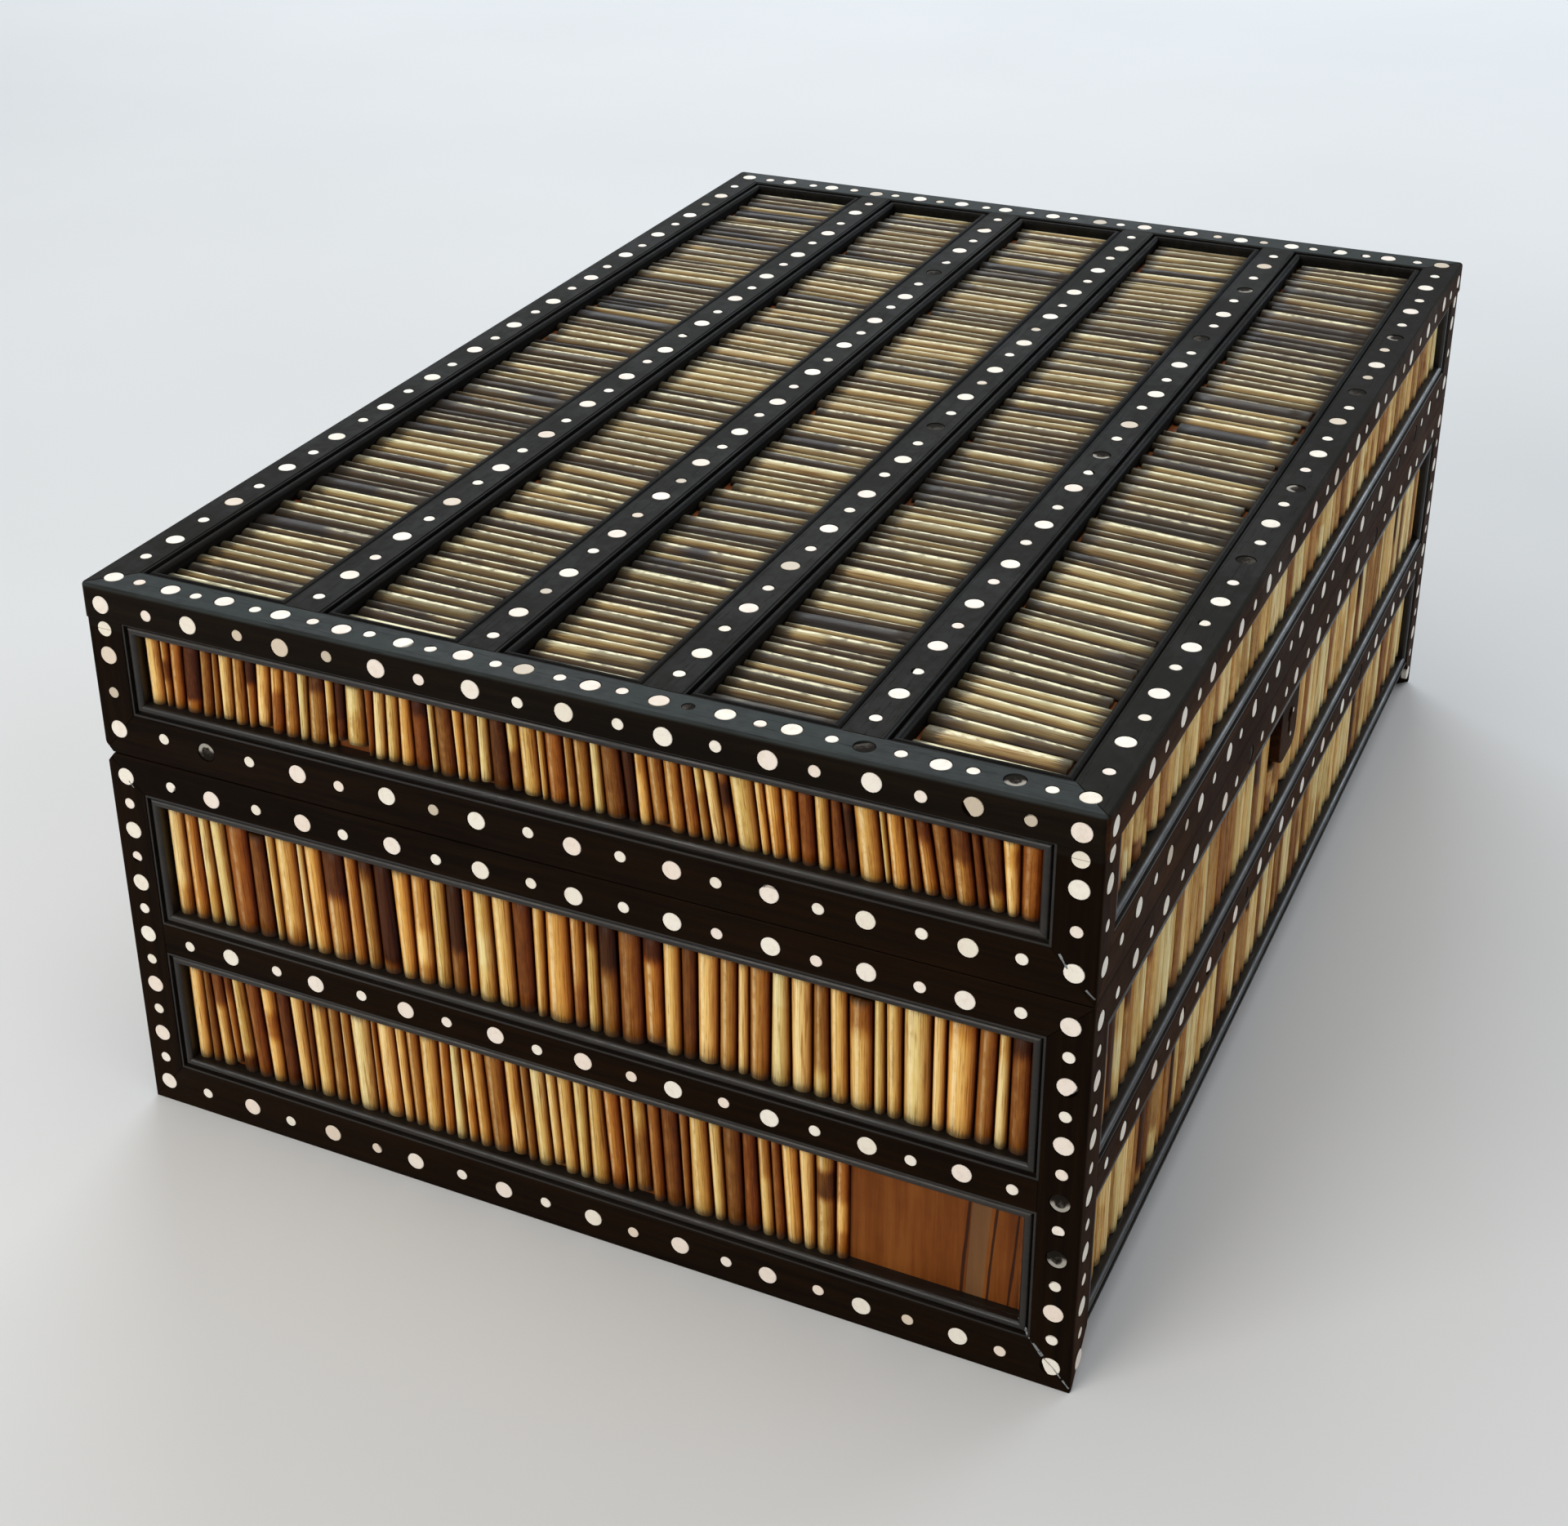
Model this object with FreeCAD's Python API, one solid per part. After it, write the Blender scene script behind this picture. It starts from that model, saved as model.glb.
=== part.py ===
import FreeCAD, Part
import math
import os

# A hinged-lid box of ebony strips over a plain wooden carcass. Its sides and top are
# sunk panels laid with quills, and its strips are set with round bone dots.
# Millimetres. X runs along the length, the keyhole faces -Y, the hinges are at +Y,
# and the origin is in the middle of the underside.

# Overall sizes
box_length = 254.0
box_width = 176.0
box_height = 105.0
top_overhang = 0.3        # the lid's top frame stands out past the sides by this much
seam_height = 73.0        # where the lid meets the case
seam_gap = 0.2

# Ebony strips on the faces
strip_depth = 3.2         # from a strip's face back to the wood that it is glued to
post_width = 7.0
top_frame_height = 6.2
frame_lug = 1.8           # the top frame reaches further down at the corners, over the posts
lid_rail_height = 8.2
case_top_rail_height = 7.1
mid_rail_top = 39.4
mid_rail_height = 6.0
bottom_rail_height = 8.4
divider_width = 6.4
divider_pitch = 32.5
divider_count = 4
edge_round = 0.6          # the box's upright corners
frame_round = 1.1         # the upright corners of the lid's top frame
rim_round = 0.55          # the top frame's upper edge
arris_chamfer = 0.12      # on each strip's face edges, so that the joints show

# Bead moulding between the strips and the panels
ridge_width = 0.4
ridge_drop = 0.15
quirk_width = 0.3
bead_radius = 0.75
bead_drop = 0.3           # from the strips' faces down to the bead's crest

# Carcass boards
board_thickness = 7.0
bottom_thickness = 6.0
lid_board_thickness = 6.5

# Quills, split lengthwise and glued down flat side first
quill_pitch = 2.9
quill_gap = 0.12
quill_height = 1.5
quill_side = 0.15         # the low upright side under the round of a quill
quill_end_gap = 0.06
bare_patch_start = 50.0   # along the left end from its middle, where quills are lost
bare_patch_end = 80.0

# Bone dots
large_dot_radius = 1.7
small_dot_radius = 1.05
middle_dot_radius = 1.35
dot_depth = 1.2
dot_clearance = 0.03
lost_hole_depth = 0.55    # what is left of a hole whose dot has fallen out
dot_crack = 0.12          # the dots across the joints above the posts are broken in two
dot_inset = 3.5           # from a side's edge to the dots along it
top_dot_inset = 4.0
lid_row_height = 4.9      # above the seam
case_row_depth = 4.4      # below the seam
long_row_spaces = 15
end_row_spaces = 10
top_end_row_spaces = 15
lid_post_pitch = 7.05     # from the lid's lower row up to the dots on its posts
row_wander = 0.45         # how far a dot was set from its even place
end_row_drift = 3.3       # how far the middle of each row on the ends is off

# Hinges
hinge_place = 78.0        # from the middle to each hinge
hinge_length = 27.0
hinge_inset = 1.8         # from the back face in to the pin's line
knuckle_radius = 2.1
hinge_pin_radius = 0.8
hinge_pin_clearance = 0.04
knuckle_gap = 0.2
leaf_thickness = 1.1
relief = 0.3
back_bevel = 50.5         # degrees from level, on both arrises behind the hinge line
hinge_screw_pitch = 9.5
screw_head_radius = 1.9
screw_radius = 0.9
screw_length = 8.0

# Lock
lock_width = 40.0
lock_height = 26.5
lock_body_width = 37.0
lock_body_height = 21.0
lock_body_depth = 5.4
lock_sheet = 0.8
selvedge_thickness = 1.0
loop_place = 9.0
loop_thickness = 1.8
loop_width = 3.7
loop_drop = 6.6
loop_wall = 0.75
bolt_travel = 4.0
bolt_thickness = 1.7
bolt_arm_width = 2.0
finger_height = 2.0
bolt_bar_drop = 8.2       # from the seam down to the top of the bolt's bar
bolt_bar_height = 3.4
key_drop = 13.0           # from the seam down to the key's post
key_post_radius = 0.9
keyhole_radius = 1.5
keyhole_slot_width = 1.5
keyhole_length = 5.4
escutcheon_width = 12.6
escutcheon_drop = 21.5
escutcheon_round = 3.6    # its lower corners
escutcheon_step = 0.5     # how far its face lies back from the strips' faces
escutcheon_pin_radius = 0.45
escutcheon_pin_length = 3.4
escutcheon_pin_places = ((2.6, -0.3), (1.9, -5.0))    # right of and above the key's post
lock_clearance = 0.3
lock_screw_radius = 0.8
lock_screw_head = 1.5
lock_screw_inset = 2.2
spring_sheet = 0.4
spring_rise = 1.3
spring_reach = 3.5
spring_place = -3.0

# Sizes that follow from those above
side_length = box_length - 2 * top_overhang
side_width = box_width - 2 * top_overhang
half_length = side_length / 2
half_width = side_width / 2
lid_base = seam_height + seam_gap / 2
case_top = seam_height - seam_gap / 2
frame_base = box_height - top_frame_height
post_top = frame_base - frame_lug
bead_width = ridge_width + quirk_width + 2 * bead_radius
top_ground = box_height - strip_depth
lid_board_base = top_ground - lid_board_thickness
inner_depth = strip_depth + board_thickness
hinge_y = half_width - hinge_inset

V = FreeCAD.Vector
os.makedirs("parts", exist_ok=True)


def save(name, shapes):
    solids = [solid for shape in shapes for solid in shape.Solids]
    whole = solids[0] if len(solids) == 1 else Part.makeCompound(solids)
    whole.exportStep("parts/" + name + ".step")


def box(x0, x1, y0, y1, z0, z1):
    return Part.makeBox(x1 - x0, y1 - y0, z1 - z0, V(x0, y0, z0))


def prism(points, direction):
    corners = [V(*point) for point in points]
    return Part.Face(Part.makePolygon(corners + corners[:1])).extrude(direction)


def near(shape, others):
    reach = FreeCAD.BoundBox(shape.BoundBox)
    reach.enlarge(0.01)
    return [other for other in others if reach.intersect(other.BoundBox)]


def cut(shape, tools):
    touching = near(shape, tools)
    return shape.cut(touching) if touching else shape


# A face is drawn flat, with u to the right, v up and n outwards, and then stood in place.
# The side faces have v = z. The top has u = x and v = y.
class Face:
    def __init__(self, turn, half, out):
        self.half = half
        spin = FreeCAD.Rotation(V(0, 0, 1), turn)
        stand = FreeCAD.Rotation(V(1, 0, 0), 90)
        self.place = FreeCAD.Placement(spin.multVec(V(0, -out, 0)), spin.multiply(stand))

    def set(self, shape):
        moved = shape.copy()
        moved.Placement = self.place.multiply(moved.Placement)
        return moved


sides = {
    "front": Face(0, half_length, half_width),
    "right": Face(90, half_width, half_length),
    "back": Face(180, half_length, half_width),
    "left": Face(270, half_width, half_length),
}
top_face = Face(0, box_length / 2, 0)
top_face.place = FreeCAD.Placement(V(0, 0, box_height), FreeCAD.Rotation())


def rounded_block(half_x, half_y, z0, z1, radius):
    """A block whose upright corners are worn round."""
    block = box(-half_x, half_x, -half_y, half_y, z0, z1)
    upright = [edge for edge in block.Edges if edge.BoundBox.ZLength > (z1 - z0) / 2]
    return block.makeFillet(radius, upright)


def eased(shape, level):
    """The edges that lie at this z are chamfered a little."""
    arrises = [edge for edge in shape.Edges
               if all(abs(corner.Z - level) < 0.001 for corner in edge.Vertexes)]
    return shape.makeChamfer(arris_chamfer, arrises)


# Flat strips
envelope = rounded_block(half_length, half_width, 0, box_height, edge_round)


def mitred_rail(face, v0, v1, tip_up):
    """Returns a sharp-edged strip to fit its neighbours to, and the eased strip. tip_up is true
    where the long edge is the upper one."""
    h = face.half
    long_v, short_v = (v1, v0) if tip_up else (v0, v1)
    front_view = prism([(-h, long_v, 0), (h, long_v, 0), (h - post_width, short_v, 0),
                        (post_width - h, short_v, 0)], V(0, 0, -strip_depth))
    plan = prism([(-h, v0, 0), (h, v0, 0), (h - strip_depth, v0, -strip_depth),
                  (strip_depth - h, v0, -strip_depth)], V(0, v1 - v0, 0))
    return [face.set(view.common(plan)).common(envelope) for view in (front_view, eased(front_view, 0))]


def butted_rail(face, v0, v1):
    reach = face.half - post_width
    return face.set(eased(box(-reach, reach, v0, v1, -strip_depth, 0), 0))


def corner_posts(z0, z1, rails):
    posts = []
    for sx in (-1, 1):
        for sy in (-1, 1):
            x = sx * half_length
            y = sy * half_width
            outer = box(min(x, x - sx * post_width), max(x, x - sx * post_width),
                        min(y, y - sy * post_width), max(y, y - sy * post_width), z0, z1)
            inner_x = x - sx * strip_depth
            inner_y = y - sy * strip_depth
            core = box(min(inner_x, inner_x - sx * post_width), max(inner_x, inner_x - sx * post_width),
                       min(inner_y, inner_y - sy * post_width), max(inner_y, inner_y - sy * post_width),
                       z0, z1)
            posts.append(cut(outer.cut(core), rails).common(envelope))
    return posts


# Beads round each panel: a low ridge beside the strip, a quirk, then a round bead
def bead_section():
    quirk_end = ridge_width + quirk_width
    waist = -bead_drop - bead_radius
    path = [V(0, 0, -strip_depth), V(0, 0, -ridge_drop), V(ridge_width, 0, -ridge_drop),
            V(ridge_width, 0, waist), V(quirk_end, 0, waist)]
    edges = [Part.makeLine(a, b) for a, b in zip(path, path[1:])]
    edges.append(Part.Arc(path[-1], V(quirk_end + bead_radius, 0, -bead_drop),
                          V(bead_width, 0, waist)).toShape())
    edges.append(Part.makeLine(V(bead_width, 0, waist), V(bead_width, 0, -strip_depth)))
    edges.append(Part.makeLine(V(bead_width, 0, -strip_depth), path[0]))
    return Part.Face(Part.Wire(edges))


def bead_frame(face, u0, u1, v0, v1):
    """Four mitred beads just inside the rectangle u0..u1, v0..v1 of a face."""
    beads = []
    middle = ((u0 + u1) / 2, (v0 + v1) / 2)
    for turn, along, across in ((0, v1 - v0, u1 - u0), (90, u1 - u0, v1 - v0),
                                (180, v1 - v0, u1 - u0), (270, u1 - u0, v1 - v0)):
        bar = bead_section().extrude(V(0, along, 0))
        ends = prism([(0, 0, -strip_depth), (bead_width, bead_width, -strip_depth),
                      (bead_width, along - bead_width, -strip_depth), (0, along, -strip_depth)],
                     V(0, 0, strip_depth))
        bead = bar.common(ends)
        bead.translate(V(-across / 2, -along / 2, 0))
        bead.rotate(V(0, 0, 0), V(0, 0, 1), turn)
        bead.translate(V(middle[0], middle[1], 0))
        beads.append(face.set(bead))
    return beads


# Quills stand upright on the side panels and lie across the top ones
def quill_rod(length):
    half = (quill_pitch - quill_gap) / 2
    left = V(-half, 0, quill_side - strip_depth)
    right = V(half, 0, quill_side - strip_depth)
    low_left = V(-half, 0, -strip_depth)
    low_right = V(half, 0, -strip_depth)
    crest = V(0, 0, quill_height - strip_depth)
    edges = [Part.makeLine(low_left, left), Part.Arc(left, crest, right).toShape(),
             Part.makeLine(right, low_right), Part.makeLine(low_right, low_left)]
    return Part.Face(Part.Wire(edges)).extrude(V(0, length, 0))


def quill_row(face, u0, u1, v0, v1, missing=(0, 0)):
    count = int((u1 - u0) / quill_pitch)
    start = (u0 + u1) / 2 - (count - 1) * quill_pitch / 2
    rod = quill_rod(v1 - v0 - 2 * quill_end_gap)
    row = []
    for i in range(count):
        u = start + i * quill_pitch
        if not missing[0] < u < missing[1]:
            quill = rod.copy()
            quill.translate(V(u, v0 + quill_end_gap, 0))
            row.append(face.set(quill))
    return row


# Bone dots
def wander(i, row):
    return row_wander * math.sin(2.4 * i + 1.9 * row)


def drift(side, part):
    """The rows on the two ends were set out unevenly; part runs from 0 to 1 along a row."""
    return end_row_drift * 4 * part * (1 - part) if side in ("left", "right") else 0


def dot_rows():
    """Yields (body, face, u, v, radius, key) for every place drilled for a dot."""
    rows = {"case": {"top_rail": seam_height - case_row_depth,
                     "mid_rail": mid_rail_top - mid_rail_height / 2,
                     "bottom_rail": bottom_rail_height / 2},
            "lid": {"rail": seam_height + lid_row_height,
                    "band": box_height - dot_inset}}
    number = 0
    for side, face in sides.items():
        spaces = long_row_spaces if face.half == half_length else end_row_spaces
        for body, heights in rows.items():
            for name, v in heights.items():
                number += 1
                yield from dot_line(body, side, name, face.half - dot_inset, spaces, v, number)
        yield from post_dots(side, face, rows)
    reach = box_length / 2 - top_dot_inset
    for line in range(divider_count + 2):
        number += 1
        yield from dot_line("lid", "top", "line%d" % line, reach, long_row_spaces,
                            top_line_place(line), number, open_ended=0 < line <= divider_count)
    for sx, name in ((-1, "left_line"), (1, "right_line")):
        number += 1
        yield from dot_line("lid", "top", name, box_width / 2 - top_dot_inset, top_end_row_spaces,
                            sx * reach, number, open_ended=True, turned=True)


def top_line_place(line):
    """Line 0 is the front border, then the dividers from front to back, then the back border."""
    if line == 0:
        return top_dot_inset - box_width / 2
    if line == divider_count + 1:
        return box_width / 2 - top_dot_inset
    return (line - 1 - (divider_count - 1) / 2) * divider_pitch


def dot_line(body, side, name, reach, spaces, v, number, open_ended=False, turned=False):
    """Large dots with small ones between. An open-ended row leaves its end dots to the rows across it."""
    for i in range(2 * spaces + 1):
        end = i in (0, 2 * spaces)
        if open_ended and end:
            continue
        part = i / (2 * spaces)
        along = (2 * part - 1) * reach + drift(side, part) + (0 if end else wander(i, number))
        across = v + (0 if end else 0.5 * wander(i + 3, number))
        radius = small_dot_radius if i % 2 else large_dot_radius
        spot = (across, along) if turned else (along, across)
        yield body, side, spot[0], spot[1], radius, (side, name, i)


def post_dots(side, face, rows):
    """Two large dots between rows with small ones midway; one pair on the lid's low posts."""
    case_rows = sorted(rows["case"].values())
    for sx, hand in ((-1, "post_low_u"), (1, "post_high_u")):
        u = sx * (face.half - dot_inset)
        for bay, (low, high) in enumerate(zip(case_rows, case_rows[1:])):
            for i in range(1, 6):
                v = low + (high - low) * i / 6
                radius = small_dot_radius if i % 2 else large_dot_radius
                yield "case", side, u, v, radius, (side, hand, 10 * bay + i)
        for i, radius in ((1, small_dot_radius), (2, large_dot_radius)):
            yield "lid", side, u, rows["lid"]["rail"] + i * lid_post_pitch, radius, (side, hand, 20 + i)
        yield "lid", side, u, post_top, middle_dot_radius, (side, hand, "cracked")


# Dots that have fallen out: their drilled holes stay empty
lost_dots = {
    ("left", "rail", 2), ("left", "mid_rail", 20), ("left", "post_high_u", 4),
    ("front", "rail", 24), ("front", "rail", 26), ("front", "top_rail", 10), ("front", "top_rail", 22),
    ("front", "mid_rail", 9), ("front", "mid_rail", 11), ("front", "mid_rail", 22),
    ("top", "line0", 10), ("top", "line0", 14), ("top", "line0", 20), ("top", "line0", 24),
    ("top", "line1", 14), ("top", "line1", 22), ("top", "line1", 26),
    ("top", "line2", 14), ("top", "line3", 24),
    ("top", "left_line", 2), ("top", "left_line", 6), ("top", "left_line", 11),
}


def drill(side, u, v, radius, depth, proud=0):
    """A cylinder let in from a face. The lid's top frame stands out past the side faces."""
    face = top_face if side == "top" else sides[side]
    out = top_overhang if side != "top" and v > frame_base else 0
    return face.set(Part.makeCylinder(radius, depth + proud, V(u, v, out - depth)))


def cracked_dot(side, u):
    """A dot that was set across the joint above a post, and broke there in two."""
    crack = box(-box_length, box_length, -box_width, box_width,
                post_top - dot_crack / 2, post_top + dot_crack / 2)
    return drill(side, u, post_top, middle_dot_radius, dot_depth).cut(crack)


dots = {("case", True): [], ("case", False): [], ("lid", True): [], ("lid", False): []}
holes = []
for body, side, u, v, radius, key in dot_rows():
    if side == "front" and key[1] == "bottom_rail" and abs(u) < sides["front"].half - post_width:
        continue
    depth = lost_hole_depth if key in lost_dots else dot_depth
    holes.append(drill(side, u, v, radius + dot_clearance, depth, proud=1.0))
    if key[2] == "cracked":
        dots["lid", True].append(cracked_dot(side, u))
    elif key not in lost_dots:
        dots[body, radius > small_dot_radius].append(drill(side, u, v, radius, dot_depth))


# Hinges: each is two leaves let into the seam, with three knuckles on one pin
def knuckle(x0, x1):
    return Part.makeCylinder(knuckle_radius, x1 - x0, V(x0, hinge_y, seam_height), V(1, 0, 0))


def screw(x, y, z, up, head, shank, length):
    """A countersunk screw whose head is level with z and whose point goes up or down."""
    way = V(0, 0, 1 if up else -1)
    top = Part.makeCone(head, shank, head - shank, V(x, y, z), way)
    return top.fuse(Part.makeCylinder(shank, length, V(x, y, z), way)).removeSplitter()


hinge_third = hinge_length / 3
leaf_inner_y = half_width - inner_depth + relief
leaf_outer_y = hinge_y - knuckle_radius - relief
hinge_screw_y = half_width - strip_depth - board_thickness / 2
leaves = {"case": [], "lid": []}
leaf_beds = {"case": [], "lid": []}
hinge_screws = {"case": [], "lid": []}
hinge_pins = []
knuckle_reliefs = []
for side_sign in (-1, 1):
    x0 = side_sign * hinge_place - hinge_length / 2
    x1 = x0 + hinge_length
    bore = Part.makeCylinder(hinge_pin_radius + hinge_pin_clearance, hinge_length + 2,
                             V(x0 - 1, hinge_y, seam_height), V(1, 0, 0))
    spans = {"case": [(x0, x0 + hinge_third - knuckle_gap / 2), (x1 - hinge_third + knuckle_gap / 2, x1)],
             "lid": [(x0 + hinge_third + knuckle_gap / 2, x1 - hinge_third - knuckle_gap / 2)]}
    for body, z0, z1, up in (("case", case_top - leaf_thickness, case_top, False),
                             ("lid", lid_base, lid_base + leaf_thickness, True)):
        plate = box(x0, x1, leaf_inner_y, leaf_outer_y, z0, z1)
        leaf_beds[body].append(box(x0, x1, leaf_inner_y, hinge_y, z0, z1))
        arms = [box(a, b, leaf_outer_y, hinge_y, z0, z1) for a, b in spans[body]]
        rounds = [knuckle(a, b) for a, b in spans[body]]
        leaf = plate.fuse(arms + rounds).removeSplitter().cut(bore)
        for k in (-1, 0, 1):
            x = (x0 + x1) / 2 + k * hinge_screw_pitch
            fixing = screw(x, hinge_screw_y, case_top if body == "case" else lid_base, up,
                           screw_head_radius, screw_radius, screw_length)
            leaf = leaf.cut(fixing)
            hinge_screws[body].append(fixing)
        leaves[body].append(leaf)
    hinge_pins.append(Part.makeCylinder(hinge_pin_radius, hinge_length, V(x0, hinge_y, seam_height),
                                        V(1, 0, 0)))
    knuckle_reliefs.append(Part.makeCylinder(knuckle_radius + relief, hinge_length + 2 * relief,
                                             V(x0 - relief, hinge_y, seam_height), V(1, 0, 0)))

# The back arrises of the lid and the case are bevelled from the hinge line, and stop the lid
bevel_run = hinge_inset + 1
bevel_rise = bevel_run * math.tan(math.radians(back_bevel))
bevels = {}
for body, way in (("case", -1), ("lid", 1)):
    bevels[body] = prism([(-box_length, hinge_y, seam_height),
                          (-box_length, hinge_y + bevel_run, seam_height),
                          (-box_length, hinge_y + bevel_run, seam_height + way * bevel_rise)],
                         V(2 * box_length, 0, 0))

# Lock, let into the inner face of the case's front
lock_back = -half_width + inner_depth
lock_front = lock_back - lock_sheet - lock_body_depth
lock_middle = lock_back - lock_sheet - (lock_body_depth - lock_sheet) / 2
body_top = case_top - selvedge_thickness
bar_top = seam_height - bolt_bar_drop
bar_base = bar_top - bolt_bar_height
key_z = seam_height - key_drop
loop_base = lid_base - loop_drop
half_body = lock_body_width / 2

back_plate = box(-lock_width / 2, lock_width / 2, lock_back - lock_sheet, lock_back,
                 case_top - lock_height, case_top)
selvedge = box(-lock_width / 2, lock_width / 2, lock_front, lock_back, body_top, case_top)
arm_reach = loop_thickness / 2 + lock_clearance + bolt_travel + bolt_arm_width
arm_places = [side_sign * loop_place - arm_reach for side_sign in (-1, 1)]
rests = [box(x, x + bolt_arm_width, lock_front + lock_sheet, lock_back - lock_sheet,
             bar_base - 1.0, bar_base - 0.05) for x in (arm_places[0] + bolt_travel, arm_places[1])]
loop_slots = [box(x - loop_thickness / 2 - lock_clearance, x + loop_thickness / 2 + lock_clearance,
                  lock_middle - loop_width / 2 - lock_clearance,
                  lock_middle + loop_width / 2 + lock_clearance, body_top - 1, case_top + 1)
              for x in (-loop_place, loop_place)]
key_post = Part.makeCylinder(key_post_radius, lock_body_depth, V(0, lock_back, key_z), V(0, -1, 0))
lock_screws = []
for x in (lock_screw_inset - lock_width / 2, lock_width / 2 - lock_screw_inset):
    seat = V(x, lock_back, case_top - lock_height + lock_screw_inset)
    shank = Part.makeCylinder(lock_screw_radius, board_thickness * 0.8, seat, V(0, -1, 0))
    head = Part.makeCone(lock_screw_head, lock_screw_radius, lock_screw_head - lock_screw_radius,
                         seat, V(0, -1, 0))
    lock_screws.append(shank.fuse(head).removeSplitter())
lock_plate = back_plate.fuse([selvedge] + rests).removeSplitter()
lock_plate = lock_plate.cut(loop_slots + [key_post] + lock_screws)

body_base = body_top - lock_body_height
tray = box(-half_body, half_body, lock_front, lock_back - lock_sheet, body_base, body_top)
hollow = box(-half_body + lock_sheet, half_body - lock_sheet, lock_front + lock_sheet,
             lock_back - lock_sheet, body_base + lock_sheet, body_top)


def keyhole(y0, y1):
    barrel = Part.makeCylinder(keyhole_radius, y1 - y0, V(0, y0, key_z), V(0, 1, 0))
    slot = box(-keyhole_slot_width / 2, keyhole_slot_width / 2, y0, y1,
               key_z - keyhole_length + keyhole_radius, key_z)
    return barrel.fuse(slot).removeSplitter()


lock_cap = tray.cut([hollow, keyhole(lock_front - 1, lock_front + lock_sheet + 1)])

bolt_y = (lock_middle - bolt_thickness / 2, lock_middle + bolt_thickness / 2)
finger_base = loop_base + loop_wall + lock_clearance
bolt = box(arm_places[0], arm_places[1] + bolt_arm_width, bolt_y[0], bolt_y[1], bar_base, bar_top)
for x in arm_places:
    arm = box(x, x + bolt_arm_width, bolt_y[0], bolt_y[1], bar_base, finger_base + finger_height)
    finger = box(x, x + bolt_arm_width + bolt_travel, bolt_y[0], bolt_y[1], finger_base,
                 finger_base + finger_height)
    bolt = bolt.fuse([arm, finger])
talon = box(-2.6, 0.6, bolt_y[0] - 1, bolt_y[1] + 1, bar_base - 1, bar_base + bolt_bar_height / 2)
bolt = bolt.removeSplitter().cut(talon)


def spring_bow(lift):
    left, right = spring_place - spring_reach, spring_place + spring_reach
    ends = bar_top + spring_rise + lift
    dip = bar_top + 0.06 + lift
    return Part.Arc(V(left, bolt_y[0], ends), V(spring_place, bolt_y[0], dip),
                    V(right, bolt_y[0], ends)).toShape()


under, over = spring_bow(0), spring_bow(spring_sheet)
spring_ends = [Part.makeLine(under.Vertexes[i].Point, over.Vertexes[i].Point) for i in (0, 1)]
spring_side = Part.Face(Part.Wire(Part.__sortEdges__([under, over] + spring_ends)))
lock_spring = spring_side.extrude(V(0, lock_back - lock_sheet - bolt_y[0], 0))

# The lid's striker plate: two loops that drop through the selvedge to meet the bolt
striker_width = lock_width - 4
striker = box(-striker_width / 2, striker_width / 2, lock_front + lock_clearance,
              lock_back - lock_clearance, lid_base, lid_base + leaf_thickness)
striker_bed = striker.copy()
for x in (-loop_place, loop_place):
    loop = box(x - loop_thickness / 2, x + loop_thickness / 2, lock_middle - loop_width / 2,
               lock_middle + loop_width / 2, loop_base, lid_base)
    eye = box(x - loop_thickness, x + loop_thickness, lock_middle - bolt_thickness / 2 - lock_clearance,
              lock_middle + bolt_thickness / 2 + lock_clearance, loop_base + loop_wall,
              finger_base + finger_height + lock_clearance)
    striker = striker.fuse(loop.cut(eye))
striker = striker.removeSplitter()
striker_screws = [screw(x, lock_middle, lid_base, True, screw_head_radius * 0.8, screw_radius * 0.8,
                        screw_length) for x in (-striker_width / 2 + 3, 0, striker_width / 2 - 3)]
striker = striker.cut(striker_screws)

# Escutcheon: a plate of ebony that hangs from the front's upper rail over the quills
front = sides["front"]
shield_top = case_top - case_top_rail_height
shield_base = seam_height - escutcheon_drop
half_shield = escutcheon_width / 2
plate = box(-half_shield, half_shield, shield_base, shield_top, -strip_depth, -escutcheon_step)
low_corners = [edge for edge in plate.Edges if edge.BoundBox.ZLength > escutcheon_step
               and edge.BoundBox.YMax < shield_base + 0.01]
shield = eased(plate.makeFillet(escutcheon_round, low_corners), -escutcheon_step)
shield = front.set(shield)
key_bore = keyhole(-half_width - 1, lock_front + 1)
escutcheon_pins = []
for x, rise in escutcheon_pin_places:
    pin = Part.makeCylinder(escutcheon_pin_radius, escutcheon_pin_length,
                            V(x, key_z + rise, -escutcheon_step - escutcheon_pin_length))
    escutcheon_pins.append(front.set(pin))

# The lock is not in the middle of the front, but under the upper rail's next large dot
lock_place = (dot_inset - half_length) / long_row_spaces
for shape in [back_plate, selvedge, lock_plate, tray, lock_cap, key_post, bolt, lock_spring, striker,
              striker_bed, shield, key_bore] + lock_screws + striker_screws + escutcheon_pins:
    shape.translate(V(lock_place, 0, 0))
escutcheon = shield.cut([key_bore] + escutcheon_pins)

# Case
case_rails = {}
case_mitres = []
for side, face in sides.items():
    for name, v0, v1, tip_up in (("top", case_top - case_top_rail_height, case_top, True),
                                 ("bottom", 0, bottom_rail_height, False)):
        sharp, case_rails[side, name] = mitred_rail(face, v0, v1, tip_up)
        case_mitres.append(sharp)
case_posts = corner_posts(0, case_top, case_mitres)
hinge_beds = {body: leaf_beds[body] + hinge_screws[body] + knuckle_reliefs for body in leaves}
case_tools = holes + [bevels["case"]] + hinge_beds["case"]

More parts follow.
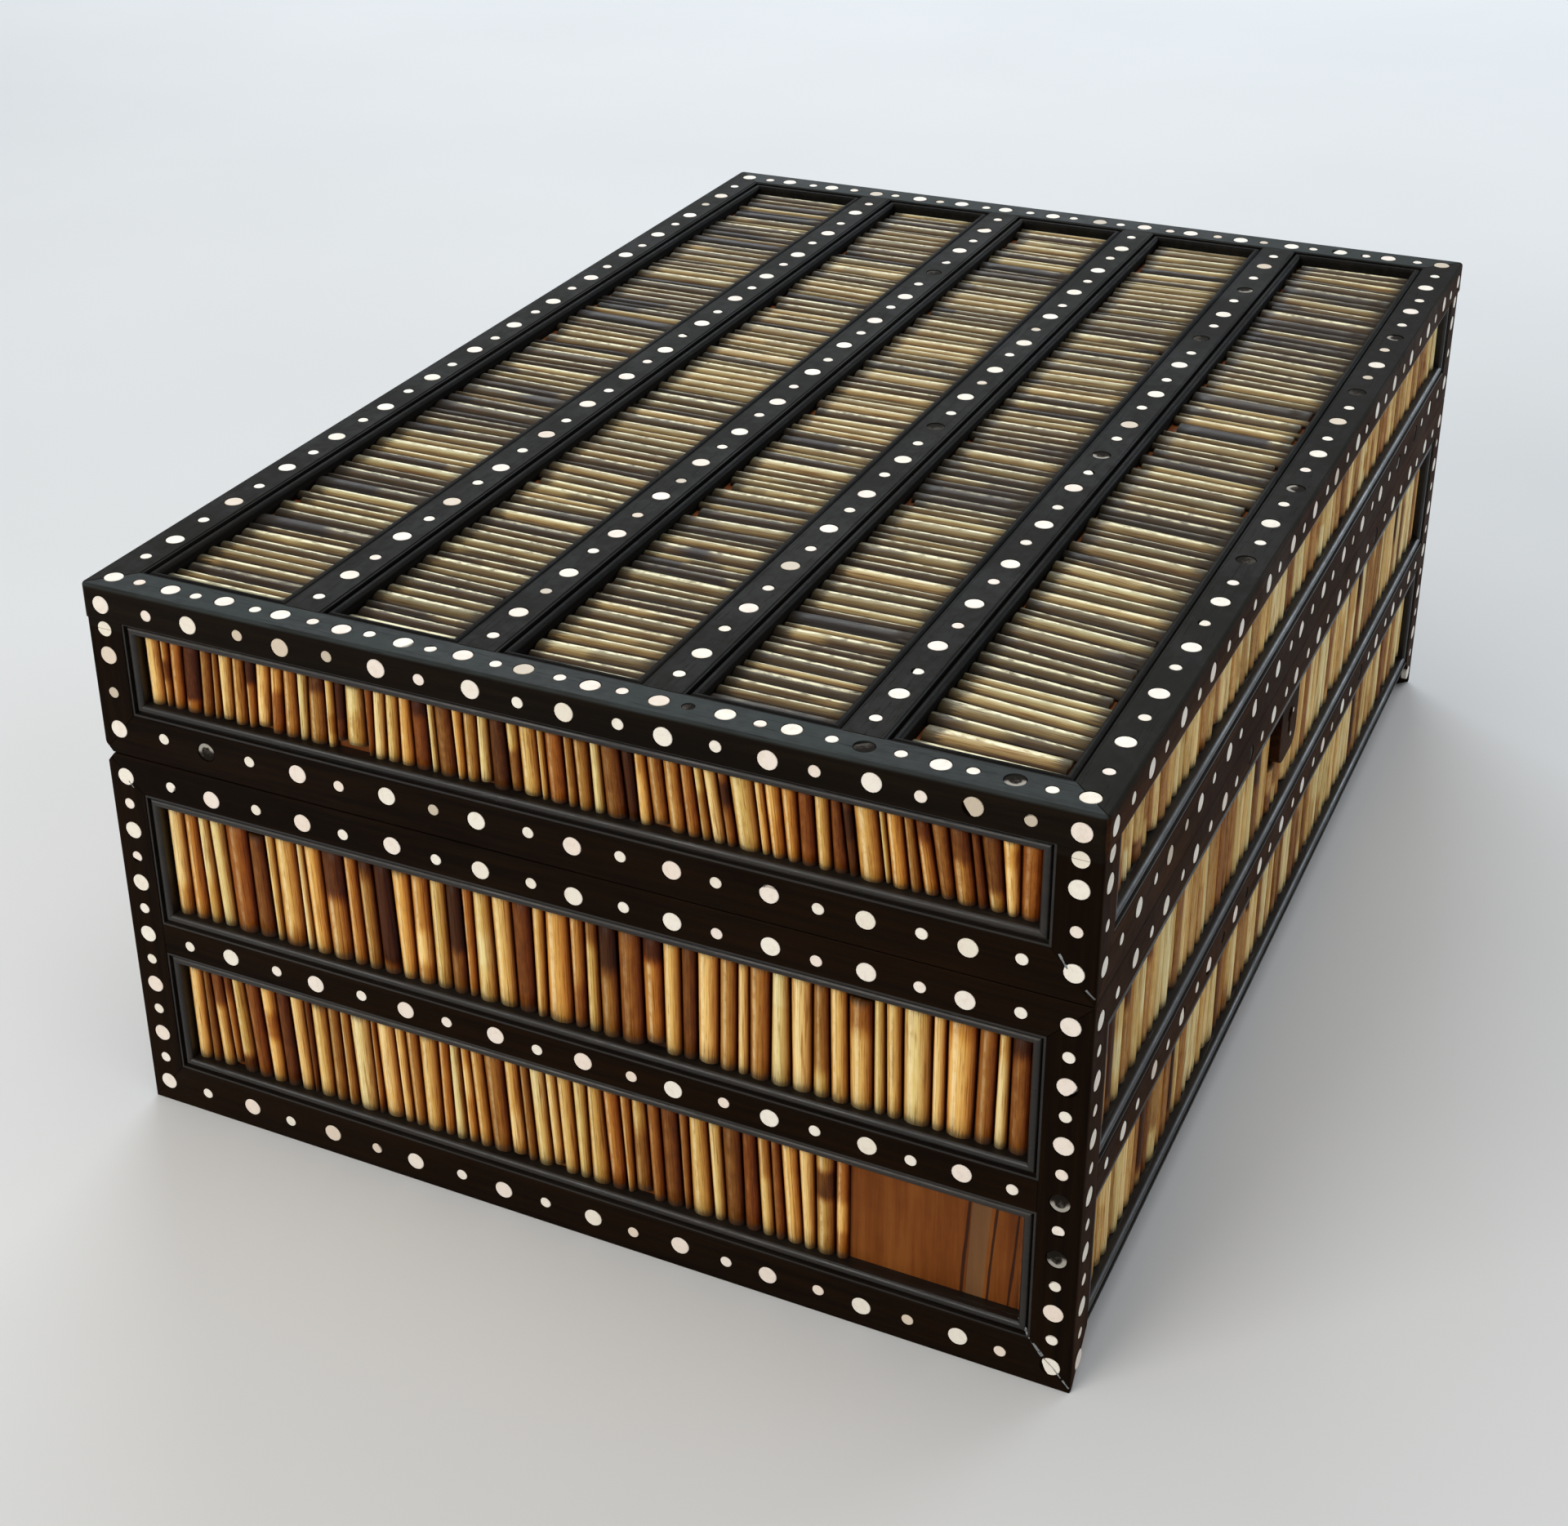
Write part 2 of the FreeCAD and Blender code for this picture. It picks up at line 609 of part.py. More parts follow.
inner_x = half_length - inner_depth
inner_y = half_width - inner_depth
board_x = half_length - strip_depth
board_y = half_width - strip_depth
mortise = tray.copy()
boards = {
    "case_front_board": box(-board_x, board_x, -board_y, -inner_y, 0, case_top),
    "case_back_board": box(-board_x, board_x, inner_y, board_y, 0, case_top),
    "case_left_board": box(-board_x, -inner_x, -inner_y, inner_y, 0, case_top),
    "case_right_board": box(inner_x, board_x, -inner_y, inner_y, 0, case_top),
    "case_bottom_board": box(-inner_x, inner_x, -inner_y, inner_y, 0, bottom_thickness),
}
front_tools = [mortise, back_plate, selvedge, key_bore] + lock_screws + escutcheon_pins
boards["case_front_board"] = boards["case_front_board"].cut(front_tools)
boards["case_back_board"] = boards["case_back_board"].cut(hinge_beds["case"])
for name, board in boards.items():
    save(name, [board])

lost_rail = ("front", "bottom")
for side in sides:
    for name in ("top", "bottom"):
        if (side, name) != lost_rail:
            save("case_%s_%s_rail" % (side, name), [cut(case_rails[side, name], case_tools)])
mid_rails = [butted_rail(face, mid_rail_top - mid_rail_height, mid_rail_top) for face in sides.values()]
save("case_mid_rails", [cut(rail, case_tools) for rail in mid_rails])
save("case_corner_posts", [cut(post, case_tools) for post in case_posts])

case_beads = []
for side, face in sides.items():
    reach = face.half - post_width
    panels = [(bottom_rail_height, mid_rail_top - mid_rail_height),
              (mid_rail_top, case_top - case_top_rail_height)]
    quills = []
    for level, (v0, v1) in enumerate(panels):
        beads = bead_frame(face, -reach, reach, v0, v1)
        missing = (bare_patch_start, bare_patch_end) if (side, level) == ("left", 0) else (0, 0)
        if (side, level) == ("front", 1):
            beads = [cut(bead, [shield]) for bead in beads]
            covered = half_shield + quill_pitch / 2
            missing = (lock_place - covered, lock_place + covered)
            quills += quill_row(face, *missing, v0 + bead_width, shield_base)
        case_beads += beads
        quills += quill_row(face, -reach + bead_width, reach - bead_width, v0 + bead_width,
                            v1 - bead_width, missing)
    save("case_%s_quills" % side, quills)
save("case_panel_beads", case_beads)
save("case_large_dots", dots["case", True])
save("case_small_dots", dots["case", False])
save("keyhole_escutcheon", [escutcheon])
save("escutcheon_pins", escutcheon_pins)
save("hinge_case_leaves", leaves["case"])
save("hinge_pins", hinge_pins)
save("hinge_case_screws", hinge_screws["case"])
save("lock_plate", [lock_plate])
save("lock_cap", [lock_cap])
save("lock_key_post", [key_post])
save("lock_spring", [lock_spring])
save("lock_screws", lock_screws)
save("lock_bolt", [bolt])

# Lid
lid_tools = holes + [bevels["lid"]] + hinge_beds["lid"]
lid_mitres = []
for side, face in sides.items():
    sharp, rail = mitred_rail(face, lid_base, lid_base + lid_rail_height, False)
    lid_mitres.append(sharp)
    save("lid_%s_rail" % side, [cut(rail, lid_tools)])
lid_posts = corner_posts(lid_base, post_top, lid_mitres)
save("lid_corner_posts", [cut(post, lid_tools) for post in lid_posts])

lid_boards = {
    "lid_front_board": box(-board_x, board_x, -board_y, -inner_y, lid_base, lid_board_base),
    "lid_back_board": box(-board_x, board_x, inner_y, board_y, lid_base, lid_board_base),
    "lid_left_board": box(-board_x, -inner_x, -inner_y, inner_y, lid_base, lid_board_base),
    "lid_right_board": box(inner_x, board_x, -inner_y, inner_y, lid_base, lid_board_base),
}
lid_boards["lid_front_board"] = lid_boards["lid_front_board"].cut([striker_bed] + striker_screws)
lid_boards["lid_back_board"] = lid_boards["lid_back_board"].cut(hinge_beds["lid"])
for name, board in lid_boards.items():
    save(name, [board])

frame_x = box_length / 2
frame_y = box_width / 2
field_x = frame_x - post_width
field_y = frame_y - post_width
flange = box(-board_x, board_x, -board_y, board_y, lid_board_base, frame_base)
field = box(-field_x, field_x, -field_y, field_y, frame_base, top_ground)
save("lid_top_board", [flange.fuse(field).removeSplitter()])

plan = {
    "front": [(-frame_x, -frame_y), (frame_x, -frame_y), (field_x, -field_y), (-field_x, -field_y)],
    "right": [(frame_x, -frame_y), (frame_x, frame_y), (field_x, field_y), (field_x, -field_y)],
    "back": [(frame_x, frame_y), (-frame_x, frame_y), (-field_x, field_y), (field_x, field_y)],
    "left": [(-frame_x, frame_y), (-frame_x, -frame_y), (-field_x, -field_y), (-field_x, field_y)],
}
frame_block = rounded_block(frame_x, frame_y, frame_base, box_height, frame_round)
rim = [edge for edge in frame_block.Edges if edge.BoundBox.ZMin > box_height - 0.01]
frame_shape = frame_block.makeFillet(rim_round, rim).fuse(corner_posts(post_top, frame_base, []))
for side, corners in plan.items():
    bar = eased(prism([(x, y, post_top) for x, y in corners], V(0, 0, box_height - post_top)), box_height)
    save("top_%s_rail" % side, [cut(bar.common(frame_shape).removeSplitter(), holes)])

divider_places = [top_line_place(line) for line in range(1, divider_count + 1)]
dividers = [eased(box(-field_x, field_x, y - divider_width / 2, y + divider_width / 2, top_ground,
                      box_height), box_height) for y in divider_places]
save("top_dividers", [cut(divider, holes) for divider in dividers])

edges_y = [-field_y]
for y in divider_places:
    edges_y += [y - divider_width / 2, y + divider_width / 2]
edges_y.append(field_y)
top_beads = []
top_quills = []
for v0, v1 in zip(edges_y[0::2], edges_y[1::2]):
    top_beads += bead_frame(top_face, -field_x, field_x, v0, v1)
    top_quills += quill_row(top_face, -field_x + bead_width, field_x - bead_width, v0 + bead_width,
                            v1 - bead_width)
save("top_panel_beads", top_beads)
save("top_quills", top_quills)

lid_beads = []
for side, face in sides.items():
    reach = face.half - post_width
    v0 = lid_base + lid_rail_height
    lid_beads += bead_frame(face, -reach, reach, v0, frame_base)
    save("lid_%s_quills" % side, quill_row(face, -reach + bead_width, reach - bead_width,
                                           v0 + bead_width, frame_base - bead_width))
save("lid_panel_beads", lid_beads)
save("lid_large_dots", dots["lid", True])
save("lid_small_dots", dots["lid", False])
save("hinge_lid_leaves", leaves["lid"])
save("hinge_lid_screws", hinge_screws["lid"])
save("lock_striker", [striker])
save("striker_screws", striker_screws)
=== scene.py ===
import bpy
import numpy as np
from math import radians
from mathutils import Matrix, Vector


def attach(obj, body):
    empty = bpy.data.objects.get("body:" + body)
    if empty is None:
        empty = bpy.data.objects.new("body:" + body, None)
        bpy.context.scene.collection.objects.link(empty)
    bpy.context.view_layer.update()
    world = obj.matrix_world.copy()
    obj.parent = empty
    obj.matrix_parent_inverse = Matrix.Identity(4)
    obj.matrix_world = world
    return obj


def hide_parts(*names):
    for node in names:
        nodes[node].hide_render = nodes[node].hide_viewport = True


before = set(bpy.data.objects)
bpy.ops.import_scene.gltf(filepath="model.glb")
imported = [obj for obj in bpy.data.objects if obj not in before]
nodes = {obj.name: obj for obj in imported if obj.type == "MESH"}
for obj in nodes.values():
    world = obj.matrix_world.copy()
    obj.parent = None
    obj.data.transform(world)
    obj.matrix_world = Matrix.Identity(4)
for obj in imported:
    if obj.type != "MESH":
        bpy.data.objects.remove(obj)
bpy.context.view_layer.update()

mm = 0.001
print("frame loaded:", len(nodes), "nodes")


# A socket that can be added, multiplied and compared like a number
class Wire:
    def __init__(self, bench, socket):
        self.bench = bench
        self.socket = socket

    def sum(self, operation, a, b=0.0):
        return self.bench.node("ShaderNodeMath", {"operation": operation}, {0: a, 1: b})

    def __add__(self, other):
        return self.sum("ADD", self, other)

    def __sub__(self, other):
        return self.sum("SUBTRACT", self, other)

    def __rsub__(self, other):
        return self.sum("SUBTRACT", other, self)

    def __mul__(self, other):
        return self.sum("MULTIPLY", self, other)

    def __truediv__(self, other):
        return self.sum("DIVIDE", self, other)

    def __rtruediv__(self, other):
        return self.sum("DIVIDE", other, self)

    def __pow__(self, other):
        return self.sum("POWER", self, other)

    def __gt__(self, other):
        return self.sum("GREATER_THAN", self, other)

    def __lt__(self, other):
        return self.sum("LESS_THAN", self, other)

    __radd__ = __add__
    __rmul__ = __mul__

    def size(self):
        return self.sum("ABSOLUTE", self)

    def least(self, other):
        return self.sum("MINIMUM", self, other)

    def most(self, other):
        return self.sum("MAXIMUM", self, other)


# A node tree, shader or geometry. Everything but arithmetic comes from node()
class Bench:
    def __init__(self, tree):
        self.tree = tree

    def node(self, kind, settings=None, inputs=None, out=0):
        made = self.tree.nodes.new(kind)
        for key, value in (settings or {}).items():
            if key == "stops":
                self.setStops(made.color_ramp, value)
            else:
                setattr(made, key, value)
        for key, value in (inputs or {}).items():
            if isinstance(value, Wire):
                self.tree.links.new(value.socket, made.inputs[key])
            else:
                made.inputs[key].default_value = value
        return Wire(self, made.outputs[out]) if made.outputs else made

    def setStops(self, ramp, stops):
        while len(ramp.elements) < len(stops):
            ramp.elements.new(1.0)
        for element, (place, colour) in zip(ramp.elements, stops):
            element.position = place
            element.color = (*colour, 1.0)

    def mixColour(self, amount, a, b, how="MIX"):
        colours = [c if isinstance(c, Wire) else (*c, 1.0) for c in (a, b)]
        return self.node("ShaderNodeMix", {"data_type": "RGBA", "blend_type": how, "clamp_factor": True},
                         {0: amount, 6: colours[0], 7: colours[1]}, out=2)

    def ramp(self, amount, stops):
        return self.node("ShaderNodeValToRGB", {"stops": stops}, {0: amount})

    def noise(self, where, scale, detail=4.0, rough=0.55):
        return self.node("ShaderNodeTexNoise", None, {"Vector": where, "Scale": scale, "Detail": detail,
                                                      "Roughness": rough})

    def stretch(self, where, x, y, z):
        return self.node("ShaderNodeVectorMath", {"operation": "MULTIPLY"}, {0: where, 1: (x, y, z)})

    def join(self, x=0.0, y=0.0, z=0.0):
        return self.node("ShaderNodeCombineXYZ", None, {0: x, 1: y, 2: z})

    def split(self, vector):
        x = self.node("ShaderNodeSeparateXYZ", None, {0: vector})
        return [Wire(self, socket) for socket in x.socket.node.outputs]

    def soft(self, value, low, high, outLow=0.0, outHigh=1.0):
        return self.node("ShaderNodeMapRange", {"interpolation_type": "SMOOTHSTEP"},
                         {0: value, 1: low, 2: high, 3: outLow, 4: outHigh})

    def attribute(self, name, kind="FLOAT"):
        if self.tree.type == "GEOMETRY":
            return self.node("GeometryNodeInputNamedAttribute", {"data_type": kind}, {"Name": name})
        return self.node("ShaderNodeAttribute", {"attribute_name": name}, out="Fac")


def material(name, paint, **fixed):
    made = bpy.data.materials.new(name)
    made.use_nodes = True
    bench = Bench(made.node_tree)
    shader = made.node_tree.nodes["Principled BSDF"]
    for key, value in fixed.items():
        shader.inputs[key.replace("_", " ")].default_value = value
    place = bench.node("ShaderNodeTexCoord", out="Object")
    for key, wire in paint(bench, place).items():
        if key == "Bump":
            height, distance = wire
            wire = bench.node("ShaderNodeBump", None, {"Height": height, "Strength": 1.0,
                                                       "Distance": distance})
            key = "Normal"
        made.node_tree.links.new(wire.socket, shader.inputs[key])
    print("material", name)
    return made


# Ebony: near-black and even, with fine fibres, short pores along the grain and a few scuffs
# Colour sets for the faces and the mouldings. The keyhole side's set is painted lighter and redder than the rest, a lit
# copy of the same ebony
ebonyLooks = {
    "side": {"dark": (0.0048, 0.0020, 0.0006), "brown": (0.0105, 0.0044, 0.0012), "rough": (0.44, 0.60)},
    "front": {"dark": (0.0190, 0.0072, 0.0024), "brown": (0.0460, 0.0180, 0.0068), "rough": (0.60, 0.72)},
    "top": {"dark": (0.0050, 0.0030, 0.0016), "brown": (0.0100, 0.0058, 0.0028), "rough": (0.40, 0.56)},
    "topBead": {"dark": (0.0050, 0.0044, 0.0036), "brown": (0.0095, 0.0080, 0.0060), "rough": (0.50, 0.62)},
    "bead": {"dark": (0.0068, 0.0046, 0.0030), "brown": (0.0130, 0.0092, 0.0062), "rough": (0.34, 0.50)},
}
# Painted sheen: the upper face is painted greyer and bluer, standing in for the window's reflection on it, more so on
# the bars along Y
paintedSheen = {"topX": (0.0125, 0.0120, 0.0092), "topY": (0.0300, 0.0355, 0.0340), "from": 0.1042, "to": 0.1048}
ebonyGrain = {
    "fibresPerMetre": 900.0,
    "patchesPerMetre": 55.0,
    "scuffsPerMetre": 420.0,
    "alongGrain": 0.045,     # how much slower the grain changes along a bar than across it
    "endFace": 0.1232,
    "frontFace": -0.0876,
    "frontDuller": 0.16,
    "poreDark": (0.0035, 0.0026, 0.0020),
    "bumpDepth": 0.00003,
}


def ebonyPaint(kind, grain):
    def paint(bench, place):
        look = ebonyLooks[kind]
        along = ebonyGrain["alongGrain"]
        x, y, z = bench.split(place)
        if grain == "round":    # bars that run round the box: along Y on its ends, along X elsewhere
            onEnd = x.size() > ebonyGrain["endFace"]
            offEnd = 1.0 - onEnd
            fibres = bench.join(x * (onEnd + offEnd * along), y * (onEnd * along + offEnd), z)
        else:
            fibres = bench.stretch(place, *[along if axis == grain else 1.0 for axis in "XYZ"])
        streaks = bench.noise(fibres, ebonyGrain["fibresPerMetre"], 4.0, 0.55)
        broad = bench.noise(fibres, ebonyGrain["fibresPerMetre"] * 0.16, 2.0)
        patches = bench.noise(place, ebonyGrain["patchesPerMetre"], 3.0)
        pores = bench.noise(fibres, ebonyGrain["fibresPerMetre"] * 3.2, 2.0)
        dark, brown = look["dark"], look["brown"]
        if kind in ("side", "top"):      # the keyhole side is painted lighter and redder, a lit copy of the same ebony
            front = y < ebonyGrain["frontFace"]
            dark = bench.mixColour(front, dark, ebonyLooks["front"]["dark"])
            brown = bench.mixColour(front, brown, ebonyLooks["front"]["brown"])
        colour = bench.mixColour(bench.soft(streaks * 0.5 + broad * 0.5, 0.40, 0.66), dark, brown)
        scuffs = bench.noise(place, ebonyGrain["scuffsPerMetre"], 5.0, 0.7)
        # painted sheen on the upper face, in uneven patches
        if kind == "top":
            uneven = 0.55 + bench.soft(patches + streaks * 0.4, 0.50, 0.85) * 0.45
            colour = bench.mixColour(bench.soft(z, paintedSheen["from"], paintedSheen["to"]) * uneven, colour, paintedSheen[kind + grain])
        colour = bench.mixColour(bench.soft(pores, 0.62, 0.72) * 0.5, colour, ebonyGrain["poreDark"])
        low, high = look["rough"]
        rough = low + (high - low) * bench.soft(patches * 0.6 + scuffs * 0.4, 0.36, 0.62)
        if kind in ("side", "top"):
            rough = rough + front * ebonyGrain["frontDuller"]
        bump = streaks * 0.5 - bench.soft(pores, 0.60, 0.70) * 0.7 + scuffs * 0.35
        return {"Base Color": colour, "Roughness": rough, "Bump": (bump, ebonyGrain["bumpDepth"])}
    return paint


# Kind, way of the grain, and how strongly it mirrors the room
ebonyKinds = (("side", "Y", 0.03), ("side", "X", 0.03), ("side", "Z", 0.025), ("side", "round", 0.025),
              ("front", "X", 0.02), ("top", "X", 0.02), ("top", "Y", 0.035), ("bead", "round", 0.40),
              ("topBead", "round", 0.035))
ebony = {}
for kind, grain, gloss in ebonyKinds:
    ebony[kind + grain] = material("ebony_" + kind + grain, ebonyPaint(kind, grain), Specular_IOR_Level=gloss)


# Carcass hardwood, red-brown and unpolished. Where quills are lost it shows, with old glue on it
woodLook = {
    "stops": [(0.32, (0.082, 0.020, 0.003)), (0.50, (0.152, 0.041, 0.006)), (0.68, (0.230, 0.076, 0.014))],    # grain
    "lowBandDark": (0.011, 0.007, 0.004),
    "lostRailTop": 8.0,      # mm; on the keyhole side the lowest bar is lost, and the board below this height is painted near-black in blotches
    "faceFrom": -84.3,
    "endFace": -123.3,
    # the bare patch, in mm along the left end: glue lines and their widths, a sliver left, then black glue
    "glueLines": ((-67.4, 0.35), (-71.8, 0.30), (-75.3, 0.28)),
    "sliver": (-68.0, -71.0),
    "glueEdge": (-74.6, -76.8),
    "patchTop": (31.2, 32.8),
    "lineDark": (0.022, 0.008, 0.004),
    "sliverPale": (0.150, 0.088, 0.040),
    "edgeDark": (0.018, 0.010, 0.006),
}


def carcassPaint(bench, place, patch=False):
    x, y, z = bench.split(place)
    upright = bench.stretch(place, 1.0, 1.0, 0.05) if patch else bench.stretch(place, 1.0, 0.06, 1.0)
    grain = bench.noise(upright, 480.0, 6.0, 0.6)
    clouds = bench.noise(place, 60.0, 3.0)
    colour = bench.ramp(grain * 0.62 + clouds * 0.40, woodLook["stops"])
    glue = bench.noise(bench.stretch(place, 0.35, 1.0, 1.0), 240.0, 5.0, 0.65)
    railTop = woodLook["lostRailTop"]
    # the keyhole side's board is painted near-black in blotches up to the lost bar's top
    lost = (y < woodLook["faceFrom"] * mm) * (1.0 - bench.soft(z / mm, railTop, railTop + 0.8))
    colour = bench.mixColour(lost * bench.soft(glue, 0.62, 0.44) * 0.93, colour, woodLook["lowBandDark"])
    if patch:
        outside = x < woodLook["endFace"] * mm
        ragged = bench.noise(upright, 700.0, 3.0) - 0.5
        edge = y / mm + ragged * 0.9 + z / mm * 0.06
        sliverHigh, sliverLow = woodLook["sliver"]
        sliver = (edge < sliverHigh) * (edge > sliverLow)
        colour = bench.mixColour(sliver * outside * 0.6, colour, woodLook["sliverPale"])
        for middle, width in woodLook["glueLines"]:
            line = 1.0 - bench.soft((edge - middle).size(), width * 0.5, width)
            colour = bench.mixColour(line * outside * 0.9, colour, woodLook["lineDark"])
        side = bench.soft(edge + clouds * 2.5, *woodLook["glueEdge"])
        top = bench.soft(z / mm + bench.noise(place, 260.0, 4.0) * 3.0, *woodLook["patchTop"])
        colour = bench.mixColour(side.most(top) * outside * 0.9, colour, woodLook["edgeDark"])
    return {"Base Color": colour, "Roughness": 0.5 + grain * 0.3, "Bump": (grain, 0.0001)}


carcassWood = material("carcassWood", carcassPaint, Specular_IOR_Level=0.2)
patchedWood = material("patchedWood", lambda bench, place: carcassPaint(bench, place, patch=True),
                       Specular_IOR_Level=0.1)


# Bone: cream with fine pores. "tone" differs from dot to dot
boneStops = [(0.0, (0.80, 0.73, 0.61)), (0.45, (0.86, 0.81, 0.71)), (0.72, (0.84, 0.74, 0.65)),
             (0.90, (0.82, 0.70, 0.59)), (0.96, (0.60, 0.50, 0.37)), (1.0, (0.50, 0.43, 0.33))]


def bonePaint(bench, place):
    colour = bench.ramp(bench.attribute("tone"), boneStops)
    clouds = bench.noise(place, 900.0, 3.0)
    pores = bench.noise(place, 5200.0, 2.0)
    colour = bench.mixColour(bench.soft(clouds, 0.45, 0.75) * 0.28, colour, (0.62, 0.50, 0.36))
    colour = bench.mixColour(bench.soft(pores, 0.64, 0.72) * 0.35, colour, (0.34, 0.25, 0.16))
    return {"Base Color": colour, "Roughness": 0.38 + clouds * 0.22, "Bump": (clouds - pores * 0.5, 0.00003)}


bone = material("bone", bonePaint, Specular_IOR_Level=0.4)


# What is left in the holes of lost dots: grey dirt, painted lighter towards one side, and in the darker ones a painted
# highlight, a pale crescent on the rim
def holeDirtAndHighlightPaint(bench, place):
    ringX, ringY, turn = (bench.attribute(label) for label in ("ringX", "ringY", "chipAngle"))
    reach = (ringX * ringX + ringY * ringY) ** 0.5
    facing = ringX * turn.sum("COSINE", turn) + ringY * turn.sum("SINE", turn)
    grime = bench.noise(place, 1500.0, 4.0, 0.65)
    # painted highlight on the rim, and the dirt painted lighter on the same side
    rimHighlight = bench.soft(reach + grime * 0.25, 0.60, 0.82) * bench.soft(facing + grime * 0.5, 0.05, 0.55)
    smudge = bench.soft(grime + facing * 0.22, 0.42, 0.75) * 0.7
    colour = bench.mixColour(smudge, (0.010, 0.0075, 0.0055), (0.085, 0.074, 0.062))
    colour = bench.mixColour(rimHighlight * (bench.attribute("tone") < 0.4) * 0.8, colour, (0.42, 0.39, 0.34))
    return {"Base Color": colour, "Roughness": 0.7 + grime * 0.2, "Bump": (grime, 0.0001)}


holeDirtAndHighlight = material("holeDirtAndHighlight", holeDirtAndHighlightPaint, Specular_IOR_Level=0.05)


# Pale filler in the joints that have opened
def fillerPaint(bench, place):
    grains = bench.noise(place, 2600.0, 4.0, 0.7)
    colour = bench.ramp(grains, [(0.35, (0.060, 0.062, 0.058)), (0.55, (0.200, 0.215, 0.215)),
                                 (0.75, (0.420, 0.440, 0.440))])
    return {"Base Color": colour, "Roughness": 0.75 + grains * 0.15, "Bump": (grains, 0.00005)}


filler = material("filler", fillerPaint, Specular_IOR_Level=0.2)


# Quill: "along" runs 0 to 1 up a quill and "across" -1 to 1 over it. "tone" is its colour, which
# changes by "jump" at "band" and back at "second"
# The sides' palette, and for the top a greyer, darker copy, painted for the sky's reflection and the light on that face
quillStops = {
    "side": [(0.00, (0.066, 0.020, 0.004)), (0.10, (0.130, 0.043, 0.009)), (0.22, (0.250, 0.092, 0.017)),
             (0.38, (0.440, 0.205, 0.044)), (0.60, (0.660, 0.400, 0.115)), (0.80, (0.850, 0.610, 0.235)),
             (1.00, (0.960, 0.800, 0.430))],
    "top": [(0.00, (0.026, 0.017, 0.008)), (0.12, (0.054, 0.037, 0.017)), (0.28, (0.108, 0.082, 0.037)),
            (0.45, (0.176, 0.147, 0.072)), (0.62, (0.270, 0.238, 0.127)), (0.80, (0.410, 0.372, 0.210)),
            (1.00, (0.620, 0.580, 0.360))],
}
# Painted shade and highlight over a quill's rounding, from one side to the other: a dark joint, a golden edge, the
# bright lit middle, then brown on the shaded side
quillEdge = {
    "side": [(0.00, (0.070, 0.022, 0.006)), (0.045, (0.30, 0.120, 0.040)), (0.12, (0.86, 0.66, 0.42)),
             (0.26, (1.00, 0.97, 0.90)), (0.54, (0.95, 0.88, 0.74)), (0.72, (0.74, 0.54, 0.33)),
             (0.86, (0.50, 0.27, 0.12)), (0.95, (0.19, 0.065, 0.020)), (1.00, (0.055, 0.017, 0.005))],
    "top": [(0.00, (0.045, 0.025, 0.012)), (0.045, (0.16, 0.095, 0.050)), (0.12, (0.60, 0.47, 0.31)),
            (0.26, (1.00, 0.97, 0.90)), (0.54, (0.96, 0.91, 0.78)), (0.70, (0.66, 0.53, 0.36)),
            (0.86, (0.36, 0.25, 0.14)), (0.95, (0.12, 0.070, 0.035)), (1.00, (0.035, 0.020, 0.010))],
}
# One set for each face, as each is lit differently. "way" is the lit side, "edge" how strongly the painted shade of the
# rounding shows and "hue" how strongly the hues show. "gleam" is the painted highlight's place, width, strength and
# colour,
# "gleamFrom" the tones over which it comes, and "steady" the share of it that is never broken. "head" is where the
# painted shadow over the heads starts and "headShadow" its colour, "foot" the dark feet's strength and reach, and
# "torn" how ragged both are
quillWearAndLight = {
    "side": {"way": 1.0, "edge": 1.0, "hue": 1.0, "gleam": (-0.30, 0.28, 0.50, (0.96, 0.82, 0.52)),
             "gleamFrom": (0.15, 0.60), "steady": 0.35, "head": 0.925, "headShadow": (0.034, 0.013, 0.004),
             "foot": (0.62, 0.080), "torn": 0.14},
    "front": {"way": 1.0, "edge": 0.62, "hue": 0.6, "gleam": (-0.55, 0.30, 0.25, (0.90, 0.78, 0.50)),
              "gleamFrom": (0.15, 0.60), "steady": 0.35, "head": 0.925, "headShadow": (0.050, 0.026, 0.010),
              "foot": (0.62, 0.080), "torn": 0.14},
    "top": {"way": -1.0, "edge": 1.0, "hue": 0.4, "gleam": (0.22, 0.38, 1.0, (1.0, 0.97, 0.72)),
            "gleamFrom": (0.0, 0.34), "steady": 0.12, "head": 0.845, "headShadow": (0.016, 0.013, 0.009),
            "foot": (0.85, 0.13), "torn": 0.34},
}
quillHues = [(0.36, (1.0, 0.86, 0.66)), (0.50, (0.97, 0.96, 0.92)), (0.64, (0.88, 0.97, 0.98))]
quillStreaks = {"broad": (0.52, 0.36, 0.20), "fine": (0.60, 0.44, 0.27), "dusty": (0.060, 0.048, 0.036)}


